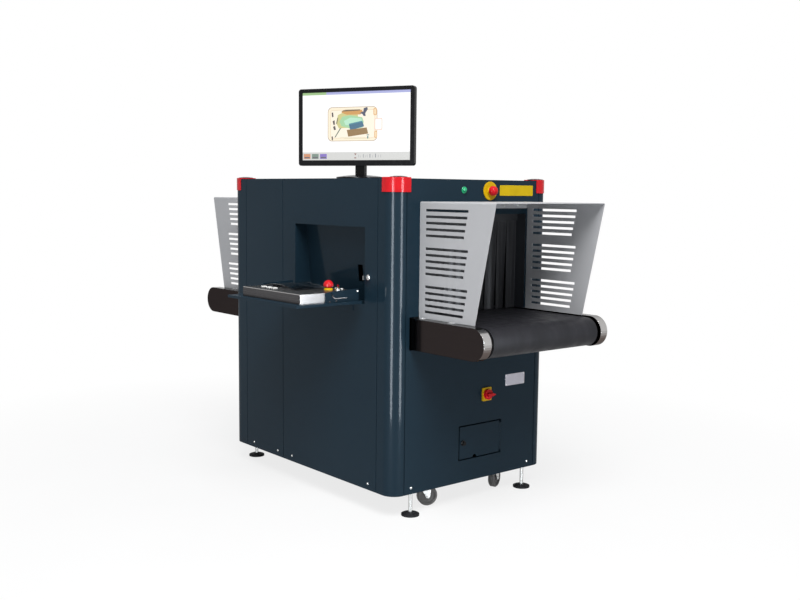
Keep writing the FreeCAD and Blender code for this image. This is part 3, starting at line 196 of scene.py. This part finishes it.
def powder_coat(name, colour, roughness, specular, coat=0.0, grain=1400, strength=0.03):
    """Powder coat: orange peel, faint mottling and dust, edges rubbed a little lighter."""
    graph = Graph(name)
    mottle = graph.span(graph.noise(3, 2), 0, 1)
    mottled = graph.mix(mottle, scaled(colour, 0.97), scaled(colour, 1.03))
    dust = graph.span(graph.noise(2, 4, 0.5), 0, 0.006, 0.5, 0.8)
    dusty = graph.mix(dust, mottled, (0.35, 0.36, 0.37))
    graph.colour(worn_edge(graph, dusty, scaled(colour, 1.9), 0.5))
    graph.roughness(graph.span(graph.noise(24, 4), roughness * 0.92, roughness * 1.1))
    graph.bump(graph.noise(grain, 2), strength, 0.0003, 0.0012)
    graph.set(Specular_IOR_Level=specular, Coat_Weight=coat, Coat_Roughness=0.09)
    return graph.material


def plastic(name, colour, roughness, grain=900, strength=0.05, specular=0.45):
    """Moulded plastic with a fine grain and small changes of tone."""
    graph = Graph(name)
    mottle = graph.span(graph.noise(18, 4), 0, 1)
    tone = graph.mix(mottle, scaled(colour, 0.92), scaled(colour, 1.06))
    graph.colour(worn_edge(graph, tone, scaled(colour, 1.35), 0.4))
    graph.roughness(graph.span(graph.noise(80, 4), roughness * 0.8, roughness * 1.3))
    graph.bump(graph.noise(grain, 2), strength, 0.0003)
    graph.set(Specular_IOR_Level=specular)
    return graph.material


def metal(name, colour, roughness, stretch=(1, 1, 1), scale=300, strength=0.1):
    """Metal whose fine scratches run along the axis with the least stretch."""
    graph = Graph(name)
    lines = graph.noise(scale, 6, 0.6, stretch)
    tone = graph.mix(graph.span(lines, 0, 1), scaled(colour, 0.82), scaled(colour, 1.1))
    stain = graph.span(graph.noise(9, 5), 0, 0.25, 0.5, 0.75)
    graph.colour(graph.mix(stain, tone, scaled(colour, 0.6)))
    graph.roughness(graph.span(lines, roughness * 0.7, roughness * 1.4))
    graph.bump(lines, strength, 0.0002)
    graph.set(Metallic=1.0)
    return graph.material


def stainless(name, side_reflection, side_reflection_dark, low, high):
    """Brushed stainless: a dark painted reflection on the flat outer faces, and bare rounded ends
    under painted light, lighter where they face up and darker where they face down.
    """
    graph = Graph(name)
    lines = graph.noise(900, 4, 0.6, (0.01, 1, 1))
    # painted light and shade: the upper tone for faces turned up, the darker brown lower tone for
    # faces turned down
    upper = graph.mix(graph.span(lines, 0, 1), (0.42, 0.41, 0.405), (0.48, 0.47, 0.465))
    lower = graph.mix(graph.span(lines, 0, 1), (0.11, 0.088, 0.08), (0.14, 0.115, 0.107))
    # painted reflection: this dark tone on the flat outer faces stands in for the dark surroundings
    # they mirror
    dark = graph.mix(graph.span(lines, 0, 1), side_reflection_dark, side_reflection)
    geometry = graph.add("ShaderNodeNewGeometry")
    split = graph.add("ShaderNodeSeparateXYZ")
    graph.link(geometry.outputs["True Normal"], split.inputs["Vector"])
    # mask of the flat outer faces, which take the painted dark reflection
    sideways = graph.span(graph.math("ABSOLUTE", split.outputs["Y"], 0), 0, 1, 0.9, 0.98)
    bright = graph.mix(graph.span(split.outputs["Z"], 0, 1, -0.35, 0.1), lower, upper)
    graph.colour(graph.mix(sideways, bright, dark))
    graph.roughness(graph.span(lines, low, high))
    graph.bump(lines, 0.05, 0.0002, 0.0015)
    graph.set(Metallic=1.0, Specular_Tint=(0.5, 0.5, 0.5, 1))
    return graph.material


def belt_rubber(name):
    """Woven belt: a fine diagonal crossing of ribs, scuffed paler along its run."""
    graph = Graph(name)
    weave = []
    for turn in (math.radians(45), math.radians(-45)):
        wave = graph.add("ShaderNodeTexWave", wave_type="BANDS")
        mapping = graph.add("ShaderNodeMapping")
        mapping.inputs["Rotation"].default_value = (0, 0, turn)
        graph.link(graph.place, mapping.inputs["Vector"])
        graph.link(mapping.outputs["Vector"], wave.inputs["Vector"])
        wave.inputs["Scale"].default_value = 170
        weave.append(wave.outputs["Fac"])
    cloth = graph.math("MULTIPLY", weave[0], weave[1])
    scuffs = graph.span(graph.noise(5, 6, 0.6, (0.25, 3, 1)), 0, 1, 0.42, 0.75)
    graph.colour(graph.mix(scuffs, (0.012, 0.012, 0.015), (0.021, 0.0205, 0.025)))
    graph.roughness(graph.span(graph.noise(30, 4), 0.42, 0.6))
    graph.bump(cloth, 0.2, 0.0003)
    graph.set(Specular_IOR_Level=0.12)
    return graph.material


def curtain_rubber(name):
    """Lead rubber: dark, slightly shiny, streaked up and down."""
    graph = Graph(name)
    streaks = graph.noise(90, 4, 0.55, (1, 1, 0.03))
    graph.colour(graph.mix(graph.span(streaks, 0, 1), (0.009, 0.009, 0.011), (0.028, 0.028, 0.032)))
    graph.roughness(graph.span(streaks, 0.35, 0.55))
    graph.bump(graph.math("ADD", streaks, graph.noise(500, 3)), 0.12, 0.0006)
    graph.set(Specular_IOR_Level=0.2)
    return graph.material


def clear_cover(name):
    """Clear acrylic with fine wiping marks."""
    graph = Graph(name)
    wipes = graph.noise(160, 4, 0.6, (0.1, 1, 1))
    graph.colour(graph.mix(graph.span(wipes, 0, 1), (0.88, 0.92, 0.95), (0.97, 0.98, 1.0)))
    graph.roughness(graph.span(wipes, 0.03, 0.12))
    graph.bump(wipes, 0.03, 0.0002)
    graph.set(Transmission_Weight=1.0, IOR=1.45)
    return graph.material


def glow(name, colour):
    """A lit part of the screen, with the faint raster of a panel."""
    graph = Graph(name)
    raster = graph.span(graph.noise(2500, 1), 0, 1)
    shade = graph.mix(raster, scaled(colour, 0.97), colour)
    graph.link(shade, graph.shader.inputs["Emission Color"])
    graph.set(Emission_Strength=1.0, Base_Color=(0.02, 0.02, 0.02, 1), Roughness=0.5)
    return graph.material


SLATE = (0.0095, 0.0235, 0.037)
materials = {
    "cabinet_paint": powder_coat("cabinet_paint", SLATE, 0.4, 0.02, 0.12),
    "dark_steel": metal("dark_steel", (0.03, 0.03, 0.032), 0.4, scale=700),
    "hood_paint": powder_coat("hood_paint", (0.43, 0.435, 0.45), 0.45, 0.12),
    "tunnel_paint": powder_coat("tunnel_paint", (0.01, 0.012, 0.017), 0.45, 0.2),
    # The second and third colours of each stainless look are the painted dark reflection on its
    # flat outer faces.
    "stainless": stainless("stainless", (0.029, 0.023, 0.0225), (0.024, 0.0193, 0.019),
                           0.12, 0.2),
    "case_steel": stainless("case_steel", (0.085, 0.083, 0.085), (0.065, 0.063, 0.066),
                            0.2, 0.32),
    "zinc": metal("zinc", (0.5, 0.5, 0.49), 0.3, scale=700),
    "chrome": metal("chrome", (0.6, 0.6, 0.6), 0.12, scale=900, strength=0.03),
    "belt_rubber": belt_rubber("belt_rubber"),
    "curtain_rubber": curtain_rubber("curtain_rubber"),
    "pad_rubber": plastic("pad_rubber", (0.012, 0.012, 0.014), 0.6, 500, 0.1, 0.1),
    "red_plastic": plastic("red_plastic", (0.58, 0.012, 0.018), 0.14, specular=0.1),
    "yellow_plastic": plastic("yellow_plastic", (0.6, 0.38, 0.004), 0.3, specular=0.1),
    "lamp_green": plastic("lamp_green", (0.01, 0.38, 0.16), 0.15),
    "black_plastic": plastic("black_plastic", (0.005, 0.005, 0.006), 0.25, specular=0.12),
    "white_plastic": plastic("white_plastic", (0.78, 0.78, 0.76), 0.4),
    "clear_plastic": clear_cover("clear_plastic"),
    "screen_glass": plastic("screen_glass", (0.02, 0.02, 0.022), 0.2),
    # The wheels' nylon is set darker than its own colour: painted shade for the shade under the
    # cabinet.
    "nylon": plastic("nylon", (0.16, 0.156, 0.152), 0.45, 600, 0.08, 0.1),
}


# The curtain bars take the dark steel in place of their slot's material: painted shade for the
# shade under the hood's flange.
LOOKS = {"curtain_bars": "dark_steel", "keyboard_case": "case_steel"}


def paint_nodes():
    """Each node takes its own look if it has one, or else the material of its slot."""
    for entry in frame["record"]["subparts"]:
        node = nodes[entry["node"]]
        node.data.materials.clear()
        node.data.materials.append(materials[LOOKS.get(entry["node"], entry["material_slot"])])


# Mesh helpers
def finish_piece(piece, material, body, bevel=0.0):
    piece.data.materials.append(material)
    if bevel:
        modifier = piece.modifiers.new("edges", "BEVEL")
        modifier.width = bevel
        modifier.segments = 2
    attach(piece, body)
    return piece


def mesh_piece(name, build, smooth=False):
    mesh = bpy.data.meshes.new(name)
    work = bmesh.new()
    build(work)
    bmesh.ops.recalc_face_normals(work, faces=work.faces)
    work.to_mesh(mesh)
    work.free()
    if smooth:
        mesh.shade_smooth()
    piece = bpy.data.objects.new(name, mesh)
    bpy.context.scene.collection.objects.link(piece)
    return piece


def slab(work, outline, frame_matrix, low, high):
    """Prism over a closed outline of (x, y) points in the matrix's own plane."""
    lower = [work.verts.new(frame_matrix @ Vector((x, y, low))) for x, y in outline]
    upper = [work.verts.new(frame_matrix @ Vector((x, y, high))) for x, y in outline]
    work.faces.new(lower)
    work.faces.new(upper)
    count = len(outline)
    for index in range(count):
        following = (index + 1) % count
        work.faces.new((lower[index], lower[following], upper[following], upper[index]))


def rounded(width, height, radius, steps=5):
    points = []
    for centre_x, centre_y, start in ((1, 1, 0), (-1, 1, 90), (-1, -1, 180), (1, -1, 270)):
        for step in range(steps + 1):
            angle = math.radians(start + 90 * step / steps)
            points.append((centre_x * (width / 2 - radius) + radius * math.cos(angle),
                           centre_y * (height / 2 - radius) + radius * math.sin(angle)))
    return points


def disc(radius, count):
    angles = [math.tau * step / count for step in range(count)]
    return [(radius * math.cos(angle), radius * math.sin(angle)) for angle in angles]


def axes(origin, across, up):
    """Matrix with local x along across, y along up and z out of that plane."""
    across = Vector(across).normalized()
    up = Vector(up).normalized()
    out = across.cross(up)
    return Matrix.Translation(origin) @ Matrix((across, up, out)).transposed().to_4x4()


def long_face(side, x, z):
    """Place on the front (side -1) or the rear (side 1) of the cabinet."""
    return axes(on_cabinet(x, side * HALF_DEPTH, z), (-side, 0, 0), (0, 0, 1))


def end_face(side, y, z):
    """Place on the exit end (side 1) or the entry end (side -1) of the cabinet."""
    return axes(on_cabinet(side * HALF_LENGTH, y, z), (0, side, 0), (0, 0, 1))


def dome(work, place, radius, height, rings=4, count=16):
    """Shallow domed head standing on the place's plane."""
    previous = [work.verts.new(place @ Vector((x, y, 0))) for x, y in disc(radius, count)]
    work.faces.new(previous)
    for ring in range(1, rings):
        share = math.sin(math.pi / 2 * ring / rings)
        width = radius * math.cos(math.pi / 2 * ring / rings)
        row = [work.verts.new(place @ Vector((x, y, height * share)))
               for x, y in disc(width, count)]
        for index in range(count):
            following = (index + 1) % count
            work.faces.new((previous[index], previous[following],
                            row[following], row[index]))
        previous = row
    work.faces.new(previous)


def screw_heads(name, places, body, radius=0.0045, height=0.0022, look="zinc"):
    def build(work):
        for place in places:
            dome(work, place, radius, height)
    return finish_piece(mesh_piece(name, build, True), materials[look], body)


def panel_screws():
    places = [long_face(side, x, SCREW_LINE) for side in (-1, 1) for x in SCREW_COLUMNS]
    places += [end_face(side, y, SCREW_LINE) for side in (1, -1)
               for y in (-END_SCREW_SIDE, END_SCREW_SIDE)]
    screw_heads("panel_screws", places, "cabinet")


def hood_screws():
    """A screw in each tab of both hoods, and a row of them through each end flange."""
    tab_offsets, tab_side, tab_top = (29, 174), 272, 618
    flange_out, flange_z, flange_pitch, flange_count = HALF_LENGTH + 2, 999.5, 70, 7
    places = []
    for sign in (-1, 1):
        for offset in tab_offsets:
            for side in (-1, 1):
                centre = on_cabinet(sign * (HALF_LENGTH + offset), side * tab_side, tab_top)
                places.append(axes(centre, (1, 0, 0), (0, 1, 0)))
        for index in range(flange_count):
            y = flange_pitch * (index - (flange_count - 1) / 2)
            places.append(axes(on_cabinet(sign * flange_out, y, flange_z), (0, sign, 0), (0, 0, 1)))
    screw_heads("hood_screws", places, "cabinet", 0.0042, 0.0024)


PLATE_THICK = 0.0008


def plate(name, place, width, height, material, body):
    def build(work):
        slab(work, rounded(width, height, 0.003), place, 0, PLATE_THICK)
    return finish_piece(mesh_piece(name, build), material, body, 0.0002)


def bare_plates():
    """The yellow label and the rating plate with its four rivets, both without text."""
    label = plastic("label_vinyl", (0.56, 0.39, 0.006), 0.42, 300, 0.04, 0.1)
    plate("label_plate", end_face(1, 201.5, 1053), 0.173, 0.038, label, "cabinet")
    etched = metal("etched_plate", (0.3, 0.29, 0.32), 0.4, (0.05, 1, 1), 400)
    middle_y, middle_z = 215.5, 350.5
    plate("rating_plate", end_face(1, middle_y, middle_z), 0.101, 0.043, etched, "cabinet")
    places = [end_face(1, middle_y + dy, middle_z + dz) @ Matrix.Translation((0, 0, PLATE_THICK))
              for dy in (-46, 46) for dz in (-17, 17)]
    screw_heads("rating_plate_rivets", places, "cabinet", 0.0018, 0.0008)


def cheek_bolts():
    """Black bolts at the front of each cheek and one bright stay pin at its rear."""
    front_spots, rear_spots = ((-520, 671), (-507, 690), (-493, 673)), ((-403, 702),)
    for name, spots, look in (("cheek_bolts", front_spots, "dark_steel"),
                              ("stay_pins", rear_spots, "zinc")):
        places = [axes(on_cabinet(x, y, z), (0, sign, 0), (0, 0, 1))
                  for x, sign in ((357, 1), (-56, -1)) for y, z in spots]
        screw_heads(name, places, "shelf", 0.0042, 0.0035, look)


# Monitor picture: flat lit shapes in front of the panel, in millimetres from the screen's middle
SCREEN_YAW = math.radians(25.8)
SCREEN_SINK = 0.0019
SCREEN_BACK = Vector((-math.sin(SCREEN_YAW), math.cos(SCREEN_YAW), 0))
SCREEN = axes(on_cabinet(194, -294, 1278) + SCREEN_BACK * SCREEN_SINK,
              (math.cos(SCREEN_YAW), math.sin(SCREEN_YAW), 0), (0, 0, 1))
LAYER_STEP, LAYER_THICK = 0.00003, 0.00002
layers = itertools.count(1)


def lit(name, outlines, colour):
    """One lit shape or several of one colour, each new layer a step nearer to the eye."""
    depth = LAYER_STEP * next(layers)

    def build(work):
        for outline in outlines:
            points = [(x / 1000, y / 1000) for x, y in outline]
            slab(work, points, SCREEN, depth, depth + LAYER_THICK)
    finish_piece(mesh_piece("screen_" + name, build), glow("lit_" + name, colour),
                 "monitor")


def box_outline(x0, x1, y0, y1):
    return [(x0, y0), (x1, y0), (x1, y1), (x0, y1)]


def case_outline(x0, x1, y0, y1, radius):
    return [((x0 + x1) / 2 + x, (y0 + y1) / 2 + y) for x, y in rounded(x1 - x0, y1 - y0, radius)]


def monitor_picture():
    wide, high = SCREEN_WIDE * 500, SCREEN_HIGH * 500
    lit("field", [box_outline(-wide, wide, -high, high)], (1.0, 1.0, 1.0))
    lit("bar_green", [box_outline(-wide, -118, high - 9, high)], (0.3, 0.5, 0.2))
    lit("bar_lilac", [box_outline(-118, wide, high - 9, high)], (0.36, 0.38, 0.68))
    lit("toolbar", [box_outline(-wide, wide, -high, 29 - high)], (0.62, 0.62, 0.6))
    lit("button_orange", [box_outline(-212, -184, 5 - high, 23 - high)], (0.6, 0.24, 0.1))
    lit("button_green", [box_outline(-178, -150, 5 - high, 23 - high)], (0.16, 0.24, 0.19))
    lit("button_violet", [box_outline(-144, -116, 5 - high, 23 - high)], (0.2, 0.13, 0.5))
    lit("button_labels", [box_outline(x, x + 22, 7 - high, 12 - high) for x in (-209, -175, -141)],
        (0.09, 0.08, 0.1))
    marks = ((14, 1, 10), (20, 1, 7), (32, 2, 12), (40, 1, 8), (48, 1, 10),
             (58, 3, 13), (70, 1, 8), (80, 3, 14), (92, 1, 10), (102, 1, 10))
    ticks = [box_outline(x, x + width, 9 - high, 9 + tall - high) for x, width, tall in marks]
    lit("ticks", ticks, (0.2, 0.21, 0.24))
    lit("arrow", [[(-4, 24 - high), (6, 24 - high), (1, 17 - high)],
                  box_outline(-3, 5, 6 - high, 10 - high)], (0.25, 0.1, 0.08))
    # the scanned case: shell, lining, handle, then the things inside it
    lit("case_shell", [case_outline(-112, 88, -54, 68, 17)], (0.42, 0.3, 0.2))
    lit("case_rim", [case_outline(-110, 86, -52, 66, 16)], (0.93, 0.82, 0.62))
    lit("case_inner_line", [case_outline(-101, 78, -43, 57, 9)], (0.66, 0.45, 0.24))
    lit("case_lining", [case_outline(-100, 77, -42, 56, 8)], (0.95, 0.86, 0.7))
    lit("case_handle", [case_outline(76, 108, -16, 26, 5)], (0.85, 0.62, 0.5))
    lit("case_handle_inside", [case_outline(80, 105, -13, 23, 4)], (0.98, 0.97, 0.92))
    lit("case_corners", [case_outline(72, 86, 36, 62, 5), case_outline(76, 88, -44, -18, 5)],
        (0.75, 0.45, 0.2))
    lit("case_corner_lines", [case_outline(76, 82, 40, 58, 3), case_outline(80, 85, -40, -22, 2)],
        (0.9, 0.72, 0.45))
    lit("olive_cloth", [[(-66, -8), (-78, 12), (-70, 40), (-40, 52), (10, 46), (12, 20),
                         (-20, -6)]], (0.58, 0.55, 0.2))
    lit("green_cloth", [[(-56, 0), (-64, 16), (-52, 34), (-20, 38), (28, 30), (34, 14), (30, -6),
                         (-10, -12)]], (0.33, 0.62, 0.33))
    lit("mint_cloth", [[(-40, 4), (-46, 18), (-20, 30), (24, 26), (30, 12), (8, 0)]],
        (0.44, 0.76, 0.55))
    lit("orange_rod", [[(-56, 48), (-50, 56), (26, 56), (32, 48), (20, 40), (-34, 40)]],
        (0.6, 0.28, 0.04))
    lit("brown_rod", [[(-58, 52), (-40, 58), (20, 58), (18, 54), (-38, 52)]], (0.14, 0.08, 0.02))
    lit("navy_tool", [[(34, 62), (48, 66), (50, 58), (40, 44), (42, 34), (34, 34), (28, 42),
                       (18, 44), (24, 48), (32, 50)]], (0.02, 0.03, 0.08))
    lit("teal_block", [[(-26, 8), (28, 18), (36, -2), (-20, -16)]], (0.005, 0.11, 0.2))
    lit("teal_edge", [[(-26, 8), (28, 18), (30, 14), (-24, 4)]], (0.02, 0.2, 0.28))
    lit("brown_block", [[(-34, -14), (46, -6), (52, -28), (-28, -38)]], (0.25, 0.13, 0.01))
    lit("dark_bits", [[(-96, 48), (-90, 50), (-88, 34), (-94, 32)],
                      [(-92, 18), (-84, 22), (-82, 6), (-88, 4)],
                      [(-90, -2), (-82, 2), (-78, -12), (-86, -14)],
                      [(-72, 30), (-69, 30), (-74, 8), (-77, 8)],
                      [(-96, -36), (-91, -36), (-90, -50), (-95, -50)]], (0.05, 0.03, 0.03))
    lit("pen", [[(-62, -8), (-56, -6), (-80, -40), (-84, -40)]], (0.03, 0.09, 0.05))
    lit("small_parts", [box_outline(48, 53, -46, -36), box_outline(46, 56, -34, -31)],
        (0.05, 0.2, 0.2))
    lit("case_lines", [box_outline(-44, 60, -45.5, -44.5), box_outline(-60, 40, -40.5, -39.8)],
        (0.55, 0.6, 0.35))


def curtain_strips(name, node, sign):
    """Strips that hang a little bowed and turned, as stiff rubber does, inside the node's box."""
    low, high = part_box(node)
    face = high.x if sign > 0 else low.x
    tall = high.z - low.z
    count, across_steps, down_steps = 10, 8, 24
    pitch = (high.y - low.y) / count
    thick, gap, set_back, ripple = 0.003, 0.0012, 0.0005, 0.0012

    def build(work):
        for index in range(count):
            swing = random.uniform(-0.012, 0.004)
            twist = random.uniform(-0.02, 0.02)
            bow = random.uniform(0.001, 0.004)
            wave = random.uniform(0, math.tau)
            start = low.y + pitch * index + gap / 2
            width = pitch - gap
            grid = []
            for layer in (0, 1):
                rows = []
                for down in range(down_steps + 1):
                    drop = down / down_steps
                    row = []
                    for across in range(across_steps + 1):
                        share = across / across_steps
                        lean = drop * (swing + twist * (share - 0.5))
                        lean += bow * drop * (1 - (2 * share - 1) ** 2)
                        lean += ripple * drop * math.sin(wave + share * 9)
                        x = face - sign * (thick * layer + set_back) + sign * min(lean, 0.0)
                        y = start + width * share
                        row.append(work.verts.new((x, y, high.z - drop * tall)))
                    rows.append(row)
                grid.append(rows)
            outer, inner = grid
            for down in range(down_steps):
                for across in range(across_steps):
                    for rows in (outer, inner):
                        work.faces.new((rows[down][across], rows[down][across + 1],
                                        rows[down + 1][across + 1], rows[down + 1][across]))
                for across in (0, across_steps):
                    work.faces.new((outer[down][across], inner[down][across],
                                    inner[down + 1][across], outer[down + 1][across]))
            for down in (0, down_steps):
                for across in range(across_steps):
                    work.faces.new((outer[down][across], outer[down][across + 1],
                                    inner[down][across + 1], inner[down][across]))
    piece = mesh_piece(name, build)
    finish_piece(piece, materials["curtain_rubber"], "cabinet")
    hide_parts(node)


def make_floor():
    """Pale floor that is white to the eye but keeps a soft shadow."""
    half, thick, fade_start, fade_end = 14, 0.02, 0.9, 2.4

    def build(work):
        slab(work, box_outline(-half, half, -half, half), Matrix.Identity(4), -thick, 0)
    floor = mesh_piece("floor", build)
    graph = Graph("floor")
    pale = graph.mix(graph.span(graph.noise(2, 3), 0, 1), (0.86, 0.86, 0.86), (0.9, 0.9, 0.9))
    graph.colour(pale)
    graph.set(Roughness=0.8, Specular_IOR_Level=0.1)
    white = graph.add("ShaderNodeEmission")
    paths = graph.add("ShaderNodeLightPath")
    seen = graph.math("MAXIMUM", paths.outputs["Is Camera Ray"], paths.outputs["Is Glossy Ray"])
    seen = graph.math("MAXIMUM", seen, paths.outputs["Is Transmission Ray"])
    blend = graph.add("ShaderNodeMixShader")
    distance = graph.add("ShaderNodeVectorMath", operation="LENGTH")
    graph.link(graph.place, distance.inputs[0])
    whiteness = graph.span(distance.outputs["Value"], 0.8, 1.0, fade_start, fade_end)
    graph.link(graph.math("MULTIPLY", seen, whiteness), blend.inputs["Fac"])
    graph.link(graph.shader.outputs[0], blend.inputs[1])
    graph.link(white.outputs[0], blend.inputs[2])
    graph.link(blend.outputs[0], graph.tree.nodes["Material Output"].inputs["Surface"])
    floor.data.materials.append(graph.material)


def make_world():
    world = bpy.data.worlds.new("studio")
    bpy.context.scene.world = world
    world.use_nodes = True
    tree = world.node_tree
    tree.nodes.clear()
    paths = tree.nodes.new("ShaderNodeLightPath")
    ambient = tree.nodes.new("ShaderNodeBackground")
    ambient.inputs["Color"].default_value = (0.95, 0.97, 1.0, 1)
    ambient.inputs["Strength"].default_value = 0.36
    seen = tree.nodes.new("ShaderNodeBackground")
    seen.inputs["Color"].default_value = (1, 1, 1, 1)
    seen.inputs["Strength"].default_value = 1.0
    previous = paths.outputs["Is Camera Ray"]
    for name in ("Is Glossy Ray", "Is Transmission Ray"):
        either = tree.nodes.new("ShaderNodeMath")
        either.operation = "MAXIMUM"
        tree.links.new(previous, either.inputs[0])
        tree.links.new(paths.outputs[name], either.inputs[1])
        previous = either.outputs[0]
    blend = tree.nodes.new("ShaderNodeMixShader")
    out = tree.nodes.new("ShaderNodeOutputWorld")
    tree.links.new(previous, blend.inputs["Fac"])
    tree.links.new(ambient.outputs[0], blend.inputs[1])
    tree.links.new(seen.outputs[0], blend.inputs[2])
    tree.links.new(blend.outputs[0], out.inputs["Surface"])


def softbox(name, position, target, width, height, power, colour=(1, 1, 1)):
    data = bpy.data.lights.new(name, "AREA")
    data.shape = "RECTANGLE"
    data.size = width
    data.size_y = height
    data.energy = power
    data.color = colour
    lamp = bpy.data.objects.new(name, data)
    bpy.context.scene.collection.objects.link(lamp)
    lamp.location = position
    lamp.rotation_euler = (Vector(target) - Vector(position)).to_track_quat("-Z", "Y").to_euler()
    lamp.visible_camera = False
    return lamp


def make_lights():
    """A wide soft light high in front, and two tall strips that only shiny surfaces show."""
    softbox("key", (2.7, -1.6, 4.2), (0, 0, 0.6), 2.4, 2.4, 240)
    reach, wide, tall, power, bluish = 1.6, 0.45, 1.3, 80, (0.86, 0.93, 1.0)
    middle = CORNER + Vector((0, 0, tall / 2))
    for name, turn in (("front_strip", -66), ("side_strip", 5)):
        angle = math.radians(turn)
        spot = middle + reach * Vector((math.cos(angle), math.sin(angle), 0))
        lamp = softbox(name, spot, middle, wide, tall, power, bluish)
        lamp.visible_diffuse = False


make_camera()
paint_nodes()
panel_screws()
hood_screws()
bare_plates()
cheek_bolts()
monitor_picture()
curtain_strips("exit_curtain_strips", "exit_curtain", 1)
curtain_strips("entry_curtain_strips", "entry_curtain", -1)
make_floor()
make_world()
make_lights()
bpy.context.scene.view_settings.view_transform = "Standard"
